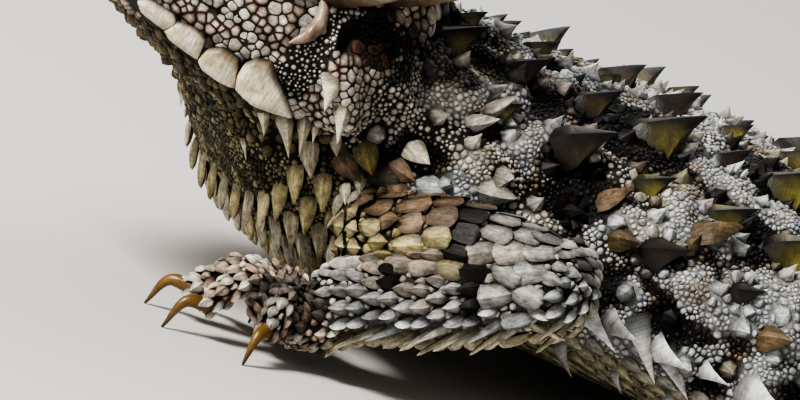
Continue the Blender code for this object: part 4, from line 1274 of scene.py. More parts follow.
class LIZARD_OT_eyes(bpy.types.Operator):
    """Set the glossy eyes, with a golden brown iris and a dark round pupil, in their sockets"""

    bl_idname = "lizard.eyes"
    bl_label = "Eyes"

    def execute(self, context):
        for side in (LEFT, RIGHT):
            centre = head_world(*mirrored(EYE_CENTRE, side))
            look_way = unit(head_world(0.30, side * 1.0, 0.06) - head_world(0, 0, 0))
            eye = shaped_ball(f"{SIDE_NAMES[side]}_eye", centre, (EYE_RADIUS,) * 3, 96, 72)
            points, normals = read_surface(eye.data)
            turn = np.degrees(np.arccos(np.clip(normals @ look_way, -1, 1)))
            # the cornea stands a little proud over the iris
            write_points(eye.data, to_model(points + normals * (0.10 * smooth_step(34, 8, turn))[:, None]))
            threads = rough_noise(points, 0.35, 12)
            colours = mix(tone("iris"), tone("straw") * 0.8, smooth_step(0.35, 0.8, threads) * 0.5)
            colours = mix(colours, tone("iris") * 0.25, smooth_step(24, 31, turn))
            colours = mix(colours, tone("dark") * 0.9, smooth_step(33, 40, turn))
            colours = mix(colours, np.array((0.004, 0.004, 0.004)), smooth_step(12.0, 10.0, turn))
            paint(eye, colours)
            eye.data.shade_smooth()
            dress(eye, looks("eye"))
            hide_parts(f"eye_{SIDE_NAMES[side]}")
        return {"FINISHED"}


# the smooth fold along the front of each ear, in the head's frame
EAR_FOLD = ((8.75, 11.45, 3.70), (8.15, 11.50, 4.40), (7.70, 11.25, 5.30), (7.75, 10.85, 6.30),
            (8.2, 10.6, 7.0))


class LIZARD_OT_ears(bpy.types.Operator):
    """Lay a smooth fold of bare skin along the front of each ear"""

    bl_idname = "lizard.ears"
    bl_label = "Ears"

    def execute(self, context):
        for side in (LEFT, RIGHT):
            path = [head_world(*mirrored(place, side)) for place in EAR_FOLD]
            fold = shaped_tube(f"{SIDE_NAMES[side]}_ear_fold", path, (0.12, 0.34, 0.46, 0.40, 0.10), 60, 24)
            points, normals = read_surface(fold.data)
            worn = rough_noise(points, 0.9, 25)
            write_points(fold.data, to_model(points + normals * ((worn - 0.5) * 0.25)[:, None]))
            colours = mix(tone("tan") * 0.7, tone("wood") * 0.6, smooth_step(0.4, 0.7, worn))
            paint(fold, mix(colours, tone("pale"), smooth_step(0.62, 0.75, worn) * 0.6))
            fold.data.shade_smooth()
            dress(fold, looks("fold"))
        return {"FINISHED"}


class LIZARD_OT_claws(bpy.types.Operator):
    """Put a curved amber claw on each finger and toe"""

    bl_idname = "lizard.claws"
    bl_label = "Claws"

    def execute(self, context):
        claws = []
        for limb in LIMBS:
            for _, _, path in digit_paths(limb):
                claw = shaped_tube("claw", path, (0.52, 0.34, 0.08), 40, 18)
                points, _ = read_surface(claw.data)
                away = np.linalg.norm(points - np.array(path[0]), axis=1)
                share = away / np.linalg.norm(np.array(path[2]) - np.array(path[0]))
                worn = rough_noise(points, 0.7, 15)
                colours = mix(tone("claw") * 0.45, tone("claw") * 0.2, smooth_step(0.3, 0.8, worn) * 0.7)
                colours = mix(colours, tone("dark") * 1.5, smooth_step(0.25, 0.0, share) * 0.6)
                colours = mix(colours, tone("dark") * 1.2, smooth_step(0.75, 1.0, share) * 0.55)
                points[:, 2] = np.maximum(points[:, 2], FLOOR_GAP)
                write_points(claw.data, to_model(points))
                paint(claw, colours)
                claws.append(claw)
        select_only(*claws)
        bpy.ops.object.join()
        made = bpy.context.object
        made.name = made.data.name = "claws"
        made.data.shade_smooth()
        dress(made, looks("claw"))
        return {"FINISHED"}


# small pieces that stand on the skin


def spike_parts(roots, outs, lies, lengths, widths, flats, bends):
    """Tapered, bent spines with a ridge before and behind: corners, faces, share of the length, turn."""
    outs = unit(outs)
    lies = unit(lies - outs * (lies * outs).sum(1, keepdims=True))
    across = np.cross(outs, lies)
    turns = 2 * np.pi * np.arange(SPINE_SIDES) / SPINE_SIDES
    ridge = 1.0 + 0.12 * np.cos(2 * turns)
    rings, shares = [], []
    for share, wide in ((-SPINE_SINK, 1.12), (0.0, 1.06), (0.16, 0.84), (0.38, 0.57), (0.66, 0.30),
                        (0.88, 0.11)):
        swing = (lengths * bends * max(share, 0.0) ** 2)[:, None]
        middle = roots + outs * (lengths * share)[:, None] + lies * swing
        size = (widths * wide)[:, None, None]
        rings.append(middle[:, None] + size * (
            lies[:, None] * (np.cos(turns) * ridge)[None, :, None] * flats[:, None, None]
            + across[:, None] * (np.sin(turns) * (2 - ridge))[None, :, None]))
        shares += [share] * SPINE_SIDES
    tip = roots + outs * lengths[:, None] + lies * (lengths * bends)[:, None]
    points = np.concatenate([*rings, tip[:, None]], axis=1)
    faces = ring_faces(len(rings), SPINE_SIDES)
    return points, faces, np.array(shares + [1.0]), np.concatenate([np.tile(turns, len(rings)), [0.0]])


def marks(spots, points, roots, first, second, third=None):
    """Each piece's corners as a small patch of the unwrap at its root's place, and its grain.

    third is the way that the grain runs, where that isn't the patch's first direction.
    """
    offset = points - roots[:, None]
    x, y = (offset * first[:, None]).sum(2), (offset * second[:, None]).sum(2)
    size = np.maximum(np.abs(x).max(axis=1), np.abs(y).max(axis=1))[:, None] + 1e-6
    patch = spots[:, None] + np.stack([x / size, y / size], axis=2) * 0.0015
    number = np.broadcast_to((np.abs(roots).sum(1) * 7.3 % 40.0)[:, None], x.shape)
    if third is not None:
        x = (offset * third[:, None]).sum(2)
    return patch, np.stack([x, y, number], axis=2)


def spine_tints(points, shares, turns, kind):
    """Colours of a spine's corners: dark edges and tip with paler sides."""
    count = len(points)
    side = np.sin(turns) ** 2
    worn = rough_noise(points.reshape(-1, 3), 0.7, 9).reshape(count, -1)
    dark = tone("dark")
    if kind == "back":
        own = np.broadcast_to(rough_noise(points[:, -1], 3.0, 14)[:, None], worn.shape)
        face = mix(tone("wood") * 0.5, tone("yellow"), smooth_step(0.46, 0.58, own))
        face = mix(face, tone("rust"), smooth_step(0.5, 0.75, worn) * 0.5)
        pale_share = side * smooth_step(0.66, 0.25, shares) * smooth_step(-0.1, 0.08, shares)
        return mix(np.broadcast_to(dark, (count, len(shares), 3)), face,
                   pale_share[None, :] * (0.35 + 0.6 * smooth_step(0.36, 0.56, own)))
    if kind == "fringe":
        face = mix(tone("bluish"), tone("pale"), worn)
        return mix(face, dark, (smooth_step(0.06, -0.05, shares)[None, :] * 0.9
                                + smooth_step(0.6, 0.75, worn) * 0.35))
    face = mix(tone("ivory"), tone("straw"), smooth_step(0.45, 0.75, worn) * 0.5)
    return mix(face, dark, np.broadcast_to(smooth_step(0.10, -0.08, shares)[None, :], worn.shape) * 0.95)


def clear_of_limbs(place, room):
    """Whether a place stands at least this far from every limb's skin."""
    for limb in LIMBS:
        for part in ("upper", "lower"):
            centres, widths = smooth_path(limb[part], limb_radii(limb)[part], 14)
            if (np.linalg.norm(centres - place, axis=1) - widths).min() < room:
                return False
    return True


def row_spines(rows, kind):
    """The trunk's spines in rows, as root, way out, lie, length, half width, flatness, bend and kind."""
    found = []
    for angle, start, end, step, length, width, flat, lift in rows:
        count = int((end - start) / step) + 1
        for i in range(count):
            station = start + i * step
            fade = 0.62 + 0.38 * math.sin(math.pi * min(max((i + 0.7) / count, 0.0), 1.0))
            grow = fade * (0.84 + 0.28 * math.sin(2.4 * i + angle))
            for side_angle in (angle, 180.0 - angle):
                heading = float(trunk_heading(station))
                back = np.array((math.cos(heading), math.sin(heading), 0.0))
                out = unit(trunk_normal(station, side_angle) + back * lift)
                root, tall = trunk_points(station, side_angle), length * grow
                if clear_of_limbs(root + out * tall * 0.6, LIMB_ROOM):
                    found.append((root, out, back, tall * 1.12, width * grow * 1.05, flat, 0.3, kind))
    return found


# design places of spines on the left side: the base's middle, the tip, half the base's width, flatness
GULAR_SPINES = (
    ((-42.37, -5.75, 10.26), (-41.87, -6.00, 9.22), 0.34, 0.6),
    ((-42.99, -9.00, 12.96), (-42.75, -9.60, 11.79), 0.62, 0.6),
    ((-42.00, -10.00, 12.97), (-41.17, -10.70, 11.02), 0.84, 0.6),
    ((-41.02, -10.75, 13.06), (-40.79, -11.30, 11.28), 0.66, 0.6),
    ((-40.35, -10.90, 13.15), (-40.30, -11.30, 12.30), 0.34, 0.7),
)
JOWL_SPINES = (
    ((5.15, 12.05, 2.95), (5.10, 13.20, 1.55), 0.66, 0.70),
    ((3.70, 12.30, 1.90), (3.45, 13.60, 0.40), 0.56, 0.70),
)
# large bluish blades behind the left elbow: base, tip, half width, flatness
ELBOW_BLADES = (
    ((-24.4, -21.6, 8.9), (-22.4, -22.8, 7.2), 0.62, 0.45),
    ((-22.3, -20.6, 8.6), (-20.6, -21.9, 7.0), 0.66, 0.45),
    ((-20.0, -20.4, 8.2), (-18.6, -21.6, 5.4), 0.74, 0.45),
    ((-17.6, -20.6, 7.4), (-16.2, -21.8, 5.4), 0.66, 0.45),
)


def set_spines():
    """Every spine of the body that stands on its own root."""
    found = row_spines(BACK_ROWS, "back")
    found += row_spines(FRINGE_ROWS + TAIL_ROWS, "fringe")
    for side in (LEFT, RIGHT):
        def on_body(place):
            return np.array(place) * (1.0, -side, 1.0)

        def on_head(place):
            return head_world(*mirrored(place, side))

        for table, placed, lie, bend, kind in (
                (GULAR_SPINES, on_body, (-0.5, 0, -0.9), 0.06, "gular"),
                (JOWL_SPINES, on_head, (0, side, 0.0), -0.12, "gular"),
                (ELBOW_BLADES, on_body, (0, side, 0.3), 0.10, "fringe")):
            for base, tip, width, flat in table:
                base, tip = placed(base), placed(tip)
                found.append((base, unit(tip - base), np.array(lie), np.linalg.norm(tip - base),
                              width, flat, bend, kind))
    return found


class LIZARD_OT_spines(bpy.types.Operator):
    """Stand the long spines of the back, sides, tail, throat and jowls on the skin"""

    bl_idname = "lizard.spines"
    bl_label = "Spines"

    def execute(self, context):
        spines = set_spines()
        WORK["kept"], WORK["rosettes"] = [], []
        for kind, name in (("back", "back_spines"), ("fringe", "fringe_spines"), ("gular", "throat_spines")):
            batch = Batch()
            chosen = [s for s in spines if s[7] == kind]
            columns = [np.array([s[k] for s in chosen], float) for k in range(7)]
            roots, outs, lies, lengths, widths, flats, bends = columns
            placed, normals, spots, _ = on_skin(roots)
            roots = roots + (placed - roots) * (1.0 if kind != "gular" else 0.85)
            points, faces, shares, turns = spike_parts(roots, outs, lies, lengths, widths, flats, bends)
            first = unit(np.cross(normals, outs + 0.01))
            batch.add(points, faces, spine_tints(points, shares, turns, kind),
                      *marks(spots, points, roots, first, np.cross(normals, first), unit(outs)))
            batch.build(name, looks("spine"), sharp=42.0)
            for place, normal, width, flat in zip(placed, normals, widths, flats):
                WORK["kept"].append((place, width * (0.5 + 0.5 * flat) * 0.95))
                if kind == "back":
                    WORK["rosettes"].append((place, normal, width))
        return {"FINISHED"}


# layout of the scales


GRANULE, SCUTE, TUBERCLE, LEAF, PLATE, KEPT = range(6)


class Seeds:
    """Places of scales on the skin, in the order in which they take it."""

    COLUMNS = ("place", "normal", "lie", "spot", "radius", "kind", "long", "lift", "keel")

    def __init__(self):
        self.rows = {name: [] for name in self.COLUMNS}

    def add(self, place, normal, lie, spot, radius, kind, long=1.0, lift=0.3, keel=0.2):
        count = len(place)
        for name, value in zip(self.COLUMNS, (place, normal, lie, spot, radius, kind, long, lift, keel)):
            value = np.asarray(value, float)
            self.rows[name].append(np.full(count, float(value)) if value.ndim == 0 else value)

    def all(self, name):
        return np.concatenate(self.rows[name])


class Taken:
    """Places already used, kept in boxes so that those near a point are quickly found."""

    def __init__(self, size):
        self.size, self.boxes = size, {}

    def cell(self, place):
        return tuple(int(math.floor(c / self.size)) for c in place)

    def put(self, place, width):
        self.boxes.setdefault(self.cell(place), []).append((place, width))

    def near(self, place):
        x, y, z = self.cell(place)
        for i in (-1, 0, 1):
            for j in (-1, 0, 1):
                for k in (-1, 0, 1):
                    yield from self.boxes.get((x + i, y + j, z + k), ())

    def crowded(self, place, room):
        """Whether a place used is nearer than room, a share of the two widths or a fixed length."""
        return any(np.linalg.norm(place - other) < room * width for other, width in self.near(place))


def in_view(points, normals):
    """Whether points lie in the camera's frame, or a little outside it, and face it."""
    right, up, back, eye = view_axes()
    offset = points - eye
    depth = -(offset @ back)
    x = (offset @ right) * VIEW_DISTANCE / depth / VIEW_WIDTH
    y = (offset @ up) * VIEW_DISTANCE / depth / (VIEW_WIDTH / 2)
    inside = (np.abs(x) < 0.5 + VIEW_MARGIN) & (np.abs(y) < 0.5 + 2 * VIEW_MARGIN)
    return inside & (normals @ back > -0.2)


def set_leaves(seeds, places, parts, width, long, lift, keel, reach=1.3, spread=0.62, lie=None, kind=LEAF):
    """Sets keeled scales where wanted places meet the skin of the wanted parts."""
    found, normals, spots, away = on_skin(places)
    part, _, _, lies = on_chart(found)
    if lie is not None:
        lies = np.tile(np.asarray(lie, float), (len(found), 1))
    width, long, lift, keel = (np.broadcast_to(np.asarray(v, float), (len(found),)).copy()
                               for v in (width, long, lift, keel))
    keep = (away < reach) & np.isin(part, parts)
    for i in np.flatnonzero(keep):
        if WORK["taken"].crowded(found[i], spread) or left_bare(found[i:i + 1])[0]:
            keep[i] = False
        else:
            WORK["taken"].put(found[i], width[i])
    seeds.add(found[keep], normals[keep], lies[keep], spots[keep], width[keep] / 2,
              kind, long[keep], lift[keep], keel[keep])


def limb_lattice(limb, number, seeds):
    """Rows of keeled scales round a limb, each row set half a scale on from the last."""
    pitch = sizes().limb_scale / MM
    for part in ("upper", "lower"):
        centres, widths = smooth_path(limb[part], limb_radii(limb)[part], 120)
        _, across, above = path_axes(centres)
        run = path_run(centres)
        big = part == "upper"
        step, wide = (pitch * 1.12, pitch * 1.08) if big else (pitch * 0.70, pitch * 0.78)
        places, edge, tops = [], [], []
        for row, at in enumerate(np.arange(step * 0.4, run[-1], step)):
            k = min(int(np.searchsorted(run, at)), len(centres) - 1)
            count = max(int(round(2 * np.pi * widths[k] / wide)), 5)
            turn = 2 * np.pi * (np.arange(count) + 0.5 * (row % 2)) / count
            out = across[k] * np.cos(turn)[:, None] + above[k] * np.sin(turn)[:, None]
            places.append(centres[k] + out * widths[k])
            tops.append(out[:, 2])
            # the outer lower edge of the forearm and shin carries a row of long spines
            edge.append((out[:, 1] * limb["side"] > 0.15) & (np.abs(out[:, 2] + 0.62) < 0.16) & (not big))
        places, edge = np.concatenate(places), np.concatenate(edge)
        jitter = 0.85 + 0.3 * lump_noise(places, 0.9, 11)
        # the plates are flat on top of the upper arm, and keeled along its side
        flat = smooth_step(-0.1, 0.5, np.concatenate(tops))
        set_leaves(seeds, places, [LIMB_PART + number, TRUNK_PART],
                   np.where(edge, 0.85, wide * (0.98 if big else 0.86) * jitter),
                   np.where(edge, 2.3, step * 1.34 * jitter),
                   np.where(edge, 1.2, 0.30),
                   np.where(edge, 0.22, 0.5 - 0.42 * flat if big else 0.52), kind=PLATE if big else LEAF)


def hand_lattice(limb, number, seeds):
    """Small keeled scales over the back of a hand or foot and along its digits."""
    places = []
    for path, widths, _ in digit_paths(limb):
        centres, widths = smooth_path(path, widths, 60)
        _, across, above = path_axes(centres)
        run = path_run(centres)
        for row, at in enumerate(np.arange(0.3, run[-1] + 0.2, 0.62)):
            k = min(int(np.searchsorted(run, at)), len(centres) - 1)
            turn = 2 * np.pi * (np.arange(7) + 0.5 * (row % 2)) / 7
            places.append(centres[k] + (across[k] * np.cos(turn)[:, None] + above[k] * np.sin(turn)[:, None])
                          * widths[k])
    palm = np.array(limb["palm"], float)
    heading = math.radians(limb["heading"])
    way = np.array((math.cos(heading), math.sin(heading), 0))
    out = np.array((-way[1], way[0], 0))
    for row, x in enumerate(np.arange(-3.0, 3.4, 0.66)):
        for y in np.arange(-3.4 + 0.4 * (row % 2), 3.4, 0.8):
            rise = PALM_RADII[2] * math.sqrt(max(1 - (x * x + y * y) / 11.0, 0.0))
            places.append([palm + way * x + out * y + (0, 0, rise)])
    set_leaves(seeds, np.concatenate(places), [HAND_PART + number], 0.76, 0.84, 0.20, 0.26, 0.9)


# how many places fill_leaves tries at most
MOST_FILLED = 14000


def fill_leaves(seeds, wanted, width, long, lift, keel, spread, lie=None):
    """Sets smaller keeled scales in the gaps that the rows of larger ones leave."""
    skin = WORK["skin"]
    part, share, angle, _ = on_chart(skin["points"])
    found = skin["points"][wanted(part, share, angle)]
    order = np.random.default_rng(5).permutation(len(found))
    every_part = list(range(HAND_PART + len(LIMBS)))
    set_leaves(seeds, found[order[:MOST_FILLED]], every_part, width, long, lift, keel, 0.5, spread, lie)


def trunk_lattice(seeds, start, end, low, high, step, around, **leaf):
    """Columns of scales over the trunk between two angles, each set half a scale round from the last."""
    places = []
    for row, station in enumerate(np.arange(start, end, step)):
        fine = np.arange(low, high + 0.01, 0.5)
        line = trunk_points(np.full(len(fine), station), fine)
        run = path_run(line)
        for at in np.arange(around * (0.25 + 0.5 * (row % 2)), run[-1], around):
            places.append(line[int(np.searchsorted(run, at))])
    set_leaves(seeds, np.array(places), [TRUNK_PART, HEAD_PART], **leaf)


# single scales that show on the left side: place, width, length, height of the tip and keel, lie, colour
FEATURES = (
    ((-36.6, -11.2, 12.7), 1.5, 1.9, 0.7, 0.55, (0.5, -0.2, -0.8), "olive"),
    ((-33.8, -11.6, 14.0), 1.7, 2.1, 0.35, 0.12, (0.8, -0.3, -0.5), "pale"),
    ((-28.9, -13.1, 13.0), 1.9, 2.4, 0.6, 0.5, (0.9, -0.3, 0.1), "pale"),
    ((-29.6, -10.2, 17.5), 1.3, 2.2, 1.3, 0.4, (0.5, -0.4, 0.7), "pale"),
    ((-30.3, -10.6, 16.4), 1.2, 1.9, 1.0, 0.4, (0.6, -0.5, 0.4), "pale"),
    ((-37.4, -10.6, 11.6), 1.4, 2.0, 0.6, 0.3, (0.7, -0.3, -0.5), "wood"),
    ((-34.5, -11.5, 12.4), 1.5, 2.0, 0.5, 0.3, (0.8, -0.4, -0.3), "wood"),
    ((-21.2, -16.5, 12.8), 1.6, 1.9, 0.8, 0.7, (0.9, -0.4, 0.0), "ochre"),
    ((-19.0, -18.3, 13.0), 1.7, 2.0, 0.9, 0.7, (0.9, -0.4, 0.1), "ochre"),
    ((-16.0, -17.4, 14.3), 2.2, 2.9, 1.2, 0.8, (0.9, -0.3, 0.3), "ochre"),
    ((-12.0, -21.8, 10.2), 1.8, 2.2, 0.9, 0.7, (0.9, -0.4, 0.0), "ochre"),
    ((-21.9, -14.8, 14.7), 1.7, 2.2, 0.9, 0.6, (0.9, -0.3, 0.3), "wood"),
)


# the way in which the scales of the chest hang
CHEST_LIE = (0.42, 0.0, -0.90)


def keeled_scales(seeds):
    """The larger overlapping scales of the chest, belly, tail, limbs and digits."""
    for side in (LEFT, RIGHT):
        flip = np.array((1.0, -side, 1.0))
        for place, width, long, lift, keel, lie, _ in FEATURES:
            set_leaves(seeds, [np.array(place) * flip], [TRUNK_PART, HEAD_PART], width, long, lift, keel,
                       lie=np.array(lie) * flip, spread=0.3)
    # the chest's scales hang like those of a cone, long and pointed in front and smaller behind
    trunk_lattice(seeds, 22.5, 36.5, -174.0, 6.0, 1.42, 2.0, width=1.26, long=2.2, lift=1.0, keel=0.42,
                  lie=CHEST_LIE, reach=1.6, spread=0.85)

    def on_chest(part, share, angle):
        return (part == TRUNK_PART) & (share > 22.5) & (share < 36) & (np.sin(np.radians(angle)) < 0.05)

    fill_leaves(seeds, on_chest, width=0.8, long=1.3, lift=0.6, keel=0.2, lie=CHEST_LIE, spread=0.95)
    for number, limb in enumerate(LIMBS):
        limb_lattice(limb, number, seeds)
        hand_lattice(limb, number, seeds)

    def on_limb(part, *_):
        return (part >= LIMB_PART) & (part < HAND_PART)

    fill_leaves(seeds, lambda part, share, _: on_limb(part) & (share < 0.5),
                width=1.25, long=1.6, lift=0.45, keel=0.45, spread=0.82)
    fill_leaves(seeds, on_limb, width=0.76, long=1.0, lift=0.28, keel=0.34, spread=0.8)
    fill_leaves(seeds, lambda part, *_: part >= HAND_PART,
                width=0.5, long=0.6, lift=0.16, keel=0.16, spread=0.9)
    trunk_lattice(seeds, 37.0, 91.0, -165.0, -15.0, 1.05, 1.10, width=1.15, long=1.35, lift=0.05, keel=0.03)
    trunk_lattice(seeds, 91.5, 139.0, 0.0, 359.0, 1.0, 0.95, width=1.02, long=1.45, lift=0.16, keel=0.16)


def scale_spacing(points, normals, part, share):
    """How far apart the small scales stand on each part of the skin, their kind and how full they are."""
    near = in_view(points, normals)
    spacing = np.where(near, sizes().near_granule, sizes().granule) / MM
    kind = np.full(len(points), GRANULE)
    a, _, v = head_place(points)
    head = part == HEAD_PART
    cheek = head & (v > 0.6) & ((a > 8.7 - 0.3 * (v - 2.0)) | (v > 7.8))
    spacing = np.where(cheek, sizes().cheek_scute / MM * np.where(v > 9.0, 1.3, 1.0), spacing)
    lips = cheek & (np.abs(v - MOUTH_HEIGHT) < 1.1) & (a > MOUTH_CORNER)
    spacing = np.where(lips, sizes().cheek_scute / MM * 0.72, spacing)
    kind[cheek] = SCUTE
    # the fold of the jowl is covered with flat scales, and the bare skin before it with tiny beads
    jowl = head & ~cheek & (a < 6.2) & (a > 2.2) & (v < 6.0) & (v > 0.4)
    kind[jowl] = SCUTE
    spacing = np.where(jowl, 0.40, spacing)
    gap = head & ~cheek & ~jowl & (a >= 6.2) & (v > -0.4)
    spacing = np.where(gap & near, 0.25, spacing)
    full = np.where(gap, 0.72, 1.0)
    packed = 0.80 + 0.7 * smooth_step(0.42, 0.54, lumps(points))
    full = np.where((part == TRUNK_PART) & (share < 92), packed, full)
    throat = head & (v < 0.6)
    spacing = np.where(throat, np.where(near, 0.62, 0.85), spacing)
    for side in (LEFT, RIGHT):
        eye = head_world(*mirrored(EYE_CENTRE, side))
        lid = np.linalg.norm(points - eye, axis=1) < LID_RADIUS + 0.1
        spacing = np.where(lid, 0.6, spacing)
        kind[lid] = GRANULE
    limbs = part >= LIMB_PART
    spacing = np.where(limbs, np.where(near, 0.55, 0.85), spacing)
    return spacing, kind, full


def inside_outline(x, y, outline):
    found = np.zeros(len(x), bool)
    for k, (x1, y1) in enumerate(outline):
        x2, y2 = outline[k - 1]
        crosses = (y1 > y) != (y2 > y)
        at = x1 + (y - y1) * (x2 - x1) / (y2 - y1 if y2 != y1 else 1.0)
        found ^= crosses & (x < at)
    return found


def left_bare(places):
    """Whether places carry no scales: eye sockets, ear pits, the mouth's line and under the shields."""
    a, y, v = head_place(places)
    bare = (a > MOUTH_CORNER) & (np.abs(v - MOUTH_HEIGHT) < 0.2)
    for side in (LEFT, RIGHT):
        eye = head_world(*mirrored(EYE_CENTRE, side))
        bare |= np.linalg.norm(places - eye, axis=1) < EYE_RADIUS + 0.32
        offset = np.stack([a - EAR[0], y - side * (EAR[1] + EAR_OUT), v - EAR[2]], axis=1)
        bare |= np.linalg.norm(offset / (0.85, 1.35, 1.55), axis=1) < 1.0
        offset = np.stack([a - NOSTRIL[0], y - side * NOSTRIL[1], v - NOSTRIL[2]], axis=1)
        bare |= np.linalg.norm(offset, axis=1) < 0.5
    for shield in JAW_SHIELDS:
        outline = [(corner[0], corner[2]) for corner in shield]
        bare |= inside_outline(a, v, outline) & (np.abs(y) > 1.5)
    return bare


def large_scales(share, angle, part):
    """Where the larger keeled scales of the back and flank may stand among the small ones."""
    return (part == TRUNK_PART) & (share > 25) & (share < 92) & (np.sin(np.radians(angle)) > -0.12)


def scatter(seeds, random):
    """Fills what is left of the skin with small scales, each at its own distance from the others."""
    skin = WORK["skin"]
    part, share, angle, lies = on_chart(skin["points"])
    spacing, kind, full = scale_spacing(skin["points"], skin["normals"], part, share)
    corners = skin["corners"]
    a, b, c = (skin["points"][corners[:, k]] for k in range(3))
    area = np.linalg.norm(np.cross(b - a, c - a), axis=1) / 2
    weight = np.cumsum(area / spacing[corners].mean(axis=1) ** 2)
    wanted = int(weight[-1] * 9)
    pick = np.minimum(np.searchsorted(weight, random.random(wanted) * weight[-1]), len(corners) - 1)
    u, v = random.random(wanted), random.random(wanted)
    over = u + v > 1
    u, v = np.where(over, 1 - u, u), np.where(over, 1 - v, v)
    shares = np.stack([1 - u - v, u, v], axis=1)[..., None]
    trio = corners[pick]
    places = (skin["points"][trio] * shares).sum(1)
    normals = unit((skin["normals"][trio] * shares).sum(1))
    spots = (skin["spots"][pick] * shares).sum(1)
    lead = trio[:, 0]
    apart = spacing[lead] * (0.78 + 0.9 * random.random(wanted) ** 4)

    alive = ~left_bare(places)
    tree = point_tree(places)
    for place, size in zip(seeds.all("place"), seeds.all("radius")):
        for _, i, _ in tree.find_range(place, size * 1.06):
            alive[i] = False
    large = large_scales(share[lead], angle[lead], part[lead]) & (random.random(wanted) < 0.5)
    chosen, is_large, wide = [], [], Taken(3.4)
    for i in np.concatenate([np.flatnonzero(large), np.flatnonzero(~large)]):
        if not alive[i]:
            continue
        big = bool(large[i]) and not wide.crowded(places[i], 1.0)
        if big:
            wide.put(places[i], 2.5)
        chosen.append(i)
        is_large.append(big)
        for _, j, _ in tree.find_range(places[i], 0.92 if big else apart[i]):
            alive[j] = False
    chosen, is_large = np.array(chosen), np.array(is_large)
    seeds.add(places[chosen], normals[chosen], lies[lead[chosen]], spots[chosen],
              np.where(is_large, 0.64, apart[chosen] * 0.5), np.where(is_large, TUBERCLE, kind[lead[chosen]]),
              full[lead[chosen]], np.where(is_large, 1.0, 0.5), 0.2)


def rosettes(seeds):
    """Rings of pointed scales that lean out round the foot of each spine of the back."""
    for place, normal, width in WORK["rosettes"]:
        first = unit(np.cross(normal, (0.3, 0.2, 1.0)))
        turns = 2 * np.pi * np.arange(8) / 8
        out = first * np.cos(turns)[:, None] + np.cross(normal, first) * np.sin(turns)[:, None]
        set_round = place + out * (width + 0.42)
        found, normals, spots, away = on_skin(set_round)
        keep = (away < 0.8) & ~left_bare(found)
        seeds.add(found[keep], normals[keep], out[keep], spots[keep], 0.46, TUBERCLE, 1.0, 1.0, 0.2)


# meshes of the scales


def cell_reach(seeds, sides):
    """How far each scale's outline goes in each direction before it meets its neighbours'."""
    places, normals, radii = seeds["place"], seeds["normal"], seeds["radius"]
    tree = point_tree(places)
    near = np.array([[i for _, i, _ in tree.find_n(place, 13)][1:] for place in places])
    offset = places[near] - places[:, None]
    away = np.linalg.norm(offset, axis=2)
    first = unit(seeds["lie"] - normals * (seeds["lie"] * normals).sum(1, keepdims=True))
    second = np.cross(normals, first)
    x, y = (offset * first[:, None]).sum(2), (offset * second[:, None]).sum(2)
    cut = (away ** 2 + radii[:, None] ** 2 - radii[near] ** 2) / (2 * np.maximum(away, 1e-6))
    cut = np.maximum(cut, 0.3 * radii[:, None])
    cut[(normals[near] * normals[:, None]).sum(2) < 0.1] = 1e3
    turn = np.arctan2(y, x)
    found = {}
    for count in sides:
        ways = 2 * np.pi * np.arange(count) / count
        reach = np.full((len(places), count), np.inf)
        for k in range(near.shape[1]):
            face = np.cos(ways[None, :] - turn[:, k:k + 1])
            reach = np.minimum(reach, np.where(face > 0.05, cut[:, k:k + 1] / np.maximum(face, 0.05), np.inf))
        limit = np.where(seeds["kind"] == SCUTE, 1.9, 1.30 * seeds["long"])
        found[count] = np.minimum(reach, (radii * limit)[:, None])
    return first, second, found


# share of the outline and height of each ring of a scale, then the height of its top
PROFILES = {
    (GRANULE, True): (((1.0, -0.45), (0.94, 0.26), (0.60, 0.74)), 1.12, 8),
    (GRANULE, False): (((1.0, -0.4), (0.76, 0.6)), 1.05, 6),
    (SCUTE, True): (((1.0, -0.32), (0.965, 0.10), (0.84, 0.26), (0.5, 0.36)), 0.48, 18),
    (SCUTE, False): (((1.0, -0.3), (0.92, 0.2), (0.6, 0.36)), 0.44, 12),
    (TUBERCLE, True): (((1.0, -0.35), (0.95, 0.10), (0.52, 0.60)), 1.34, 7),
    (TUBERCLE, False): (((1.0, -0.3), (0.90, 0.15)), 1.20, 6),
}


def cell_parts(seeds, pick, first, second, reach, profile, kind, random):
    """Corners, faces and shade of the scales of one kind and fineness."""
    rings, top, sides = profile
    place, normal = seeds["place"][pick], seeds["normal"][pick]
    first, second, reach, size = first[pick], second[pick], reach[pick], seeds["radius"][pick]
    ways = 2 * np.pi * np.arange(sides) / sides
    lean = (random.random((len(pick), 2)) - 0.5) * 0.30
    lift = seeds["lift"][pick]
    height = size * (lift if kind == TUBERCLE else 0.80 if kind == GRANULE else 0.9)
    height = height * (0.65 + 0.7 * random.random(len(pick)))
    gap = 0.95 if kind != SCUTE else 0.955
    corners, shade = [], []
    for share, up in rings:
        toward = 0.42 * (1 - share) if kind == TUBERCLE else 0.0
        x = reach * share * gap * np.cos(ways) + (lean[:, :1] * (1 - share) + toward) * size[:, None]
        y = reach * share * gap * np.sin(ways) + lean[:, 1:] * (1 - share) * size[:, None]
        if kind == TUBERCLE:
            keel = 1 - 0.28 * np.abs(np.sin(ways)) * (share < 0.9)
        else:
            keel = np.ones(sides)
        z = height[:, None] * up * (keel[None, :] if up > 0 else 1.0)
        corners.append(place[:, None] + first[:, None] * x[..., None] + second[:, None] * y[..., None]
                       + normal[:, None] * z[..., None])
        shade += [share] * sides
    ahead = lean[:, 0] + (0.55 if kind == TUBERCLE else 0.0)
    apex = (place + normal * (height * top)[:, None] + first * (ahead * size)[:, None]
            + second * (lean[:, 1] * size)[:, None])
    corners.append(apex[:, None])
    faces = ring_faces(len(rings), sides)
    return np.concatenate(corners, axis=1), faces, np.array(shade + [0.0])


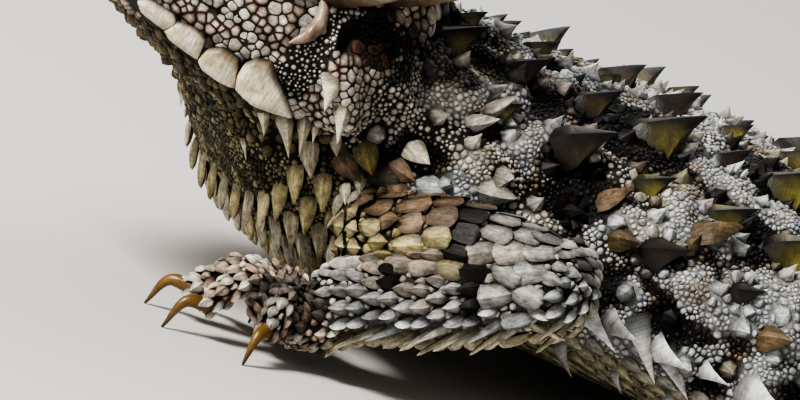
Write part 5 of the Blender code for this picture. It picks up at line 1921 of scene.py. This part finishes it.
# rows of a keeled scale: place along it, half width, height of its edges and of its keel, as shares
NEAR_LEAF = ((-0.50, 0.30, -0.45, 0.2), (-0.30, 0.46, -0.10, 0.65), (-0.08, 0.50, 0.16, 1.0),
             (0.14, 0.42, 0.40, 1.05), (0.34, 0.27, 0.64, 0.85), (0.50, 0.12, 0.88, 0.45))
NEAR_PLATE = ((-0.50, 0.22, -0.45, 0.2), (-0.26, 0.37, -0.12, 0.7), (0.0, 0.46, 0.18, 1.0),
              (0.26, 0.50, 0.46, 1.0), (0.44, 0.47, 0.66, 0.9), (0.52, 0.36, 0.72, 0.6))
FAR_LEAF = ((-0.50, 0.28, -0.35, 0.3), (0.0, 0.50, 0.22, 1.0), (0.36, 0.33, 0.62, 0.8))


def leaf_parts(seeds, pick, first, second, near, plate, random):
    """Overlapping keeled scales with a free point at the end they lie towards."""
    place, normal = seeds["place"][pick], seeds["normal"][pick]
    first, second = first[pick], second[pick]
    wide, long = seeds["radius"][pick] * 2, seeds["long"][pick]
    lift, keel = seeds["lift"][pick], seeds["keel"][pick]
    swing = (random.random(len(pick)) - 0.5) * 0.24
    first, second = (first * np.cos(swing)[:, None] + second * np.sin(swing)[:, None],
                     second * np.cos(swing)[:, None] - first * np.sin(swing)[:, None])
    wide = wide * (0.92 + 0.16 * random.random(len(pick)))
    across = ((-1, 0.0), (-0.5, 0.42), (0, 1.0), (0.5, 0.42), (1, 0.0))
    across = across if near else across[::2]
    rows = FAR_LEAF if not near else NEAR_PLATE if plate else NEAR_LEAF
    section, centre = len(across) + 1, np.zeros(len(pick))
    # shade is each corner's painted shade, heavy at the sides and over the base that lies under the scale
    # before; middle is how near the keel a corner is, which the colours lighten as a painted highlight
    corners, shade, middle = [], [], []

    def put(x, y, z):
        corners.append(place + first * x[:, None] + second * y[:, None] + normal * z[:, None])

    for at, half, edge, ridge in rows:
        for side, share in across:
            put(long * at, wide * half * side, lift * edge + keel * ridge * share + 0.08)
            shade.append(max(abs(side) * (0.95 if plate else 0.85), smooth_step(0.0, -0.45, at)))
            middle.append(share)
        put(long * at, centre, lift * edge - 0.14)
        shade.append(1.0)
        middle.append(0.0)
    put(long * (0.60 if plate else 0.62), centre, lift * (0.82 if plate else 1.05) + 0.02)
    shade.append(0.35)
    middle.append(0.6)
    faces = ring_faces(len(rows), section)
    return np.stack(corners, axis=1), faces, np.array(shade), np.array(middle)


def turned_out(points, faces):
    """The faces, turned round where they point into the piece."""
    middle, total = points[0].mean(axis=0), 0.0
    for face in faces:
        ring = points[0][face] - middle
        for k in range(1, len(ring) - 1):
            total += np.dot(np.cross(ring[0], ring[k]), ring[k + 1])
    return [face[::-1] for face in faces] if total < 0 else faces


def region_names(part, share, angle):
    """The region of the body that each scale is gathered with."""
    found = np.full(len(part), "back", dtype="<U12")
    found[(part == TRUNK_PART) & (np.sin(np.radians(angle)) < -0.1)] = "belly"
    found[(part == TRUNK_PART) & (share < 44)] = "forequarter"
    found[(part == TRUNK_PART) & (share > 91)] = "tail"
    found[part == HEAD_PART] = "head"
    fore = np.isin(part, (LIMB_PART, LIMB_PART + 1, HAND_PART, HAND_PART + 1))
    found[(part >= LIMB_PART) & fore] = "arms"
    found[(part >= LIMB_PART) & ~fore] = "legs"
    return found


class LIZARD_OT_scales(bpy.types.Operator):
    """Cover the skin with scales: keeled ones in rows, larger ones on the back and small ones between"""

    bl_idname = "lizard.scales"
    bl_label = "Scales"

    def execute(self, context):
        random = np.random.default_rng(sizes().seed)
        WORK["taken"] = Taken(2.6)
        growing = Seeds()
        placed, normals, spots, _ = on_skin([place for place, _ in WORK["kept"]])
        growing.add(placed, normals, np.tile((1.0, 0, 0), (len(placed), 1)), spots,
                    [size for _, size in WORK["kept"]], KEPT)
        for place, size in WORK["kept"]:
            WORK["taken"].put(place, size * 1.5)
        keeled_scales(growing)
        rosettes(growing)
        scatter(growing, random)
        seeds = {name: growing.all(name) for name in Seeds.COLUMNS}
        first, second, reach = cell_reach(seeds, sorted({p[2] for p in PROFILES.values()}))
        place, normal, kind = seeds["place"], seeds["normal"], seeds["kind"].astype(int)
        near = in_view(place, normal)
        part, share, angle, _ = on_chart(place)
        region = region_names(part, share, angle)
        colour = markings(place, part, share, angle)
        chest = (kind == LEAF) & (part <= HEAD_PART) & (place[:, 0] < -25) & (normal[:, 2] < 0.5)
        cream = mix(tone("straw"), tone("ivory"), smooth_step(0.35, 0.6, rough_noise(place, 2.0, 18))) * 1.2
        colour = np.where(chest[:, None], cream, colour)
        for spot, *_, name in FEATURES:
            for side in (LEFT, RIGHT):
                away = np.linalg.norm(place - np.array(spot) * (1, -side, 1), axis=1)
                colour = np.where(((kind == LEAF) & (away < 0.7))[:, None], tone(name) * 1.15, colour)
        colour = colour * (0.66 + 0.50 * random.random(len(place)))[:, None]
        dark = tone("dark")
        for name in ("head", "forequarter", "back", "belly", "tail", "arms", "legs"):
            batches, batch = [], Batch()
            for fine in (True, False):
                for sort in (GRANULE, SCUTE, TUBERCLE, LEAF, PLATE):
                    pick = np.flatnonzero((region == name) & (kind == sort) & (near == fine))
                    if not len(pick):
                        continue
                    if sort in (LEAF, PLATE):
                        points, faces, rim, ridge = leaf_parts(seeds, pick, first, second, fine,
                                                               sort == PLATE, random)
                        # painted shade: each leaf darkened towards its sides and over its base under the
                        # scale before it
                        shade = rim[None, :, None] ** 2.0 * (0.85 if sort == PLATE else 0.72)
                        tints = colour[pick][:, None] * (1 - shade) + dark * shade
                        # painted highlight: each leaf lightened along its keel
                        tints = tints * (0.94 + 0.22 * ridge[None, :, None])
                    else:
                        profile = PROFILES[sort, fine]
                        points, faces, rim = cell_parts(seeds, pick, first, second, reach[profile[2]],
                                                        profile, sort, random)
                        tints = np.repeat(colour[pick][:, None], len(rim), axis=1)
                        if sort == SCUTE:
                            stain = smooth_step(0.45, 0.62, rough_noise(place[pick], 1.1, 23))[:, None]
                            tints = mix(tints, tone("rust") * 0.8, stain * smooth_step(0.3, 0.9, rim))
                        # painted shade and highlight: each scale darkened towards its foot at the gap round
                        # it, and lightened towards its top
                        edge = np.tile(smooth_step(0.86, 1.0, rim) * 0.9, (len(pick), 1))
                        tints = mix(tints, dark * 0.6, edge)
                        tints = tints * (1.12 - 0.22 * rim[None, :, None])
                    faces = turned_out(points, faces)
                    patch, grain = marks(seeds["spot"][pick], points, place[pick], first[pick], second[pick])
                    cost = sum(len(face) - 2 for face in faces)
                    most = MOST_TRIANGLES // cost
                    for start in range(0, len(pick), most):
                        cut = slice(start, start + most)
                        if batch.triangles + len(points[cut]) * cost > MOST_TRIANGLES:
                            batches.append(batch)
                            batch = Batch()
                        batch.add(points[cut], faces, tints[cut], patch[cut], grain[cut])
            batches.append(batch)
            for number, batch in enumerate(b for b in batches if b.count):
                ending = f"_{number + 1}" if number else ""
                batch.build(f"scales_{name}{ending}", looks("scale"), sharp=28.0)
        return {"FINISHED"}


# stage


def floor_look():
    """Matte studio paper, with a trace of mottling so that it isn't one flat tone."""
    look = bpy.data.materials.new("studio_paper")
    tree, shader = tidy_tree(look)
    place = add_node(tree, "ShaderNodeTexCoord")
    cloud = add_node(tree, "ShaderNodeTexNoise", [(place, "Object", "Vector")], in_Scale=18.0, in_Detail=3.0)
    base = tone("floor")
    ramp = add_node(tree, "ShaderNodeMix", [(cloud, "Fac", 0)], data_type="RGBA")
    ramp.inputs[6].default_value = (*(base * 0.97), 1)
    ramp.inputs[7].default_value = (*(base * 1.03), 1)
    tree.links.new(ramp.outputs[2], shader.inputs["Base Color"])
    shader.inputs["Roughness"].default_value = 0.9
    return look


def soft_light(name, place, target, size, power, colour):
    """A square soft box at a place, turned to a target; both in metres."""
    lamp = bpy.data.lights.new(name, "AREA")
    lamp.shape, lamp.size, lamp.energy, lamp.color = "SQUARE", size, power, colour
    made = bpy.data.objects.new(name, lamp)
    made.location = place
    made.rotation_euler = (Vector(target) - Vector(place)).to_track_quat("-Z", "Y").to_euler()
    bpy.context.scene.collection.objects.link(made)


class LIZARD_OT_stage(bpy.types.Operator):
    """Set the floor, the soft lights and the camera"""

    bl_idname = "lizard.stage"
    bl_label = "Stage"

    def execute(self, context):
        deselect_all()
        bpy.ops.mesh.primitive_plane_add(size=6.0, location=(0, 0, 0))
        floor = bpy.context.object
        floor.name = "floor"
        floor.data.materials.append(floor_look())

        right, up, back, eye = view_axes()
        middle = Vector(to_model(np.array((-30.0, -6.0, 12.0))))
        for name, offset, size, power, colour in (
                ("key_light", right * -0.20 + up * 0.46 + back * 0.34, 0.16, 5.8, (1.0, 0.98, 0.94)),
                ("fill_light", right * -0.50 - up * 0.02 + back * 0.40, 0.50, 1.3, (0.94, 0.97, 1.0)),
                ("rear_light", right * 0.30 + up * 0.45 - back * 0.42, 0.50, 2.0, (1.0, 1.0, 1.0))):
            soft_light(name, middle + Vector(offset), middle, size, power, colour)

        world = bpy.data.worlds.new("studio")
        context.scene.world = world
        world.use_nodes = True
        sky = world.node_tree.nodes["Background"]
        sky.inputs["Color"].default_value = (0.86, 0.88, 0.92, 1)
        sky.inputs["Strength"].default_value = 0.30

        lens = bpy.data.cameras.new("photo_camera")
        lens.sensor_width, lens.sensor_fit = 36.0, "HORIZONTAL"
        lens.lens = lens.sensor_width * VIEW_DISTANCE / VIEW_WIDTH
        lens.clip_start, lens.clip_end = 0.01, 20.0
        camera = bpy.data.objects.new("photo_camera", lens)
        place = to_model(eye)
        camera.matrix_world = Matrix([*zip(right, up, back, place), (0, 0, 0, 1)])
        bpy.context.scene.collection.objects.link(camera)
        context.scene.camera = camera
        context.scene.view_settings.look = "AgX - High Contrast"
        return {"FINISHED"}


# add-on


OPERATORS = (LIZARD_OT_skin, LIZARD_OT_shields, LIZARD_OT_spines, LIZARD_OT_scales, LIZARD_OT_horns,
             LIZARD_OT_eyes, LIZARD_OT_ears, LIZARD_OT_claws, LIZARD_OT_stage)


class LIZARD_PT_panel(bpy.types.Panel):
    """Lists the operators that build the lizard, with its sizes and colours"""

    bl_idname = "LIZARD_PT_panel"
    bl_label = "Horned lizard"
    bl_space_type = "VIEW_3D"
    bl_region_type = "UI"
    bl_category = "Lizard"

    def draw(self, context):
        for kind in OPERATORS:
            self.layout.operator(kind.bl_idname)
        for group in (context.scene.lizard_sizes, context.scene.lizard_colours):
            box = self.layout.box()
            for name in group.__annotations__:
                box.prop(group, name)


CLASSES = (LizardSizes, LizardColours, *OPERATORS, LIZARD_PT_panel)


def register():
    for kind in CLASSES:
        bpy.utils.register_class(kind)
    bpy.types.Scene.lizard_sizes = bpy.props.PointerProperty(type=LizardSizes)
    bpy.types.Scene.lizard_colours = bpy.props.PointerProperty(type=LizardColours)


def unregister():
    del bpy.types.Scene.lizard_colours
    del bpy.types.Scene.lizard_sizes
    for kind in reversed(CLASSES):
        bpy.utils.unregister_class(kind)


def main():
    register()
    for kind in OPERATORS:
        group, name = kind.bl_idname.split(".")
        getattr(getattr(bpy.ops, group), name)()


if __name__ == "__main__":
    main()
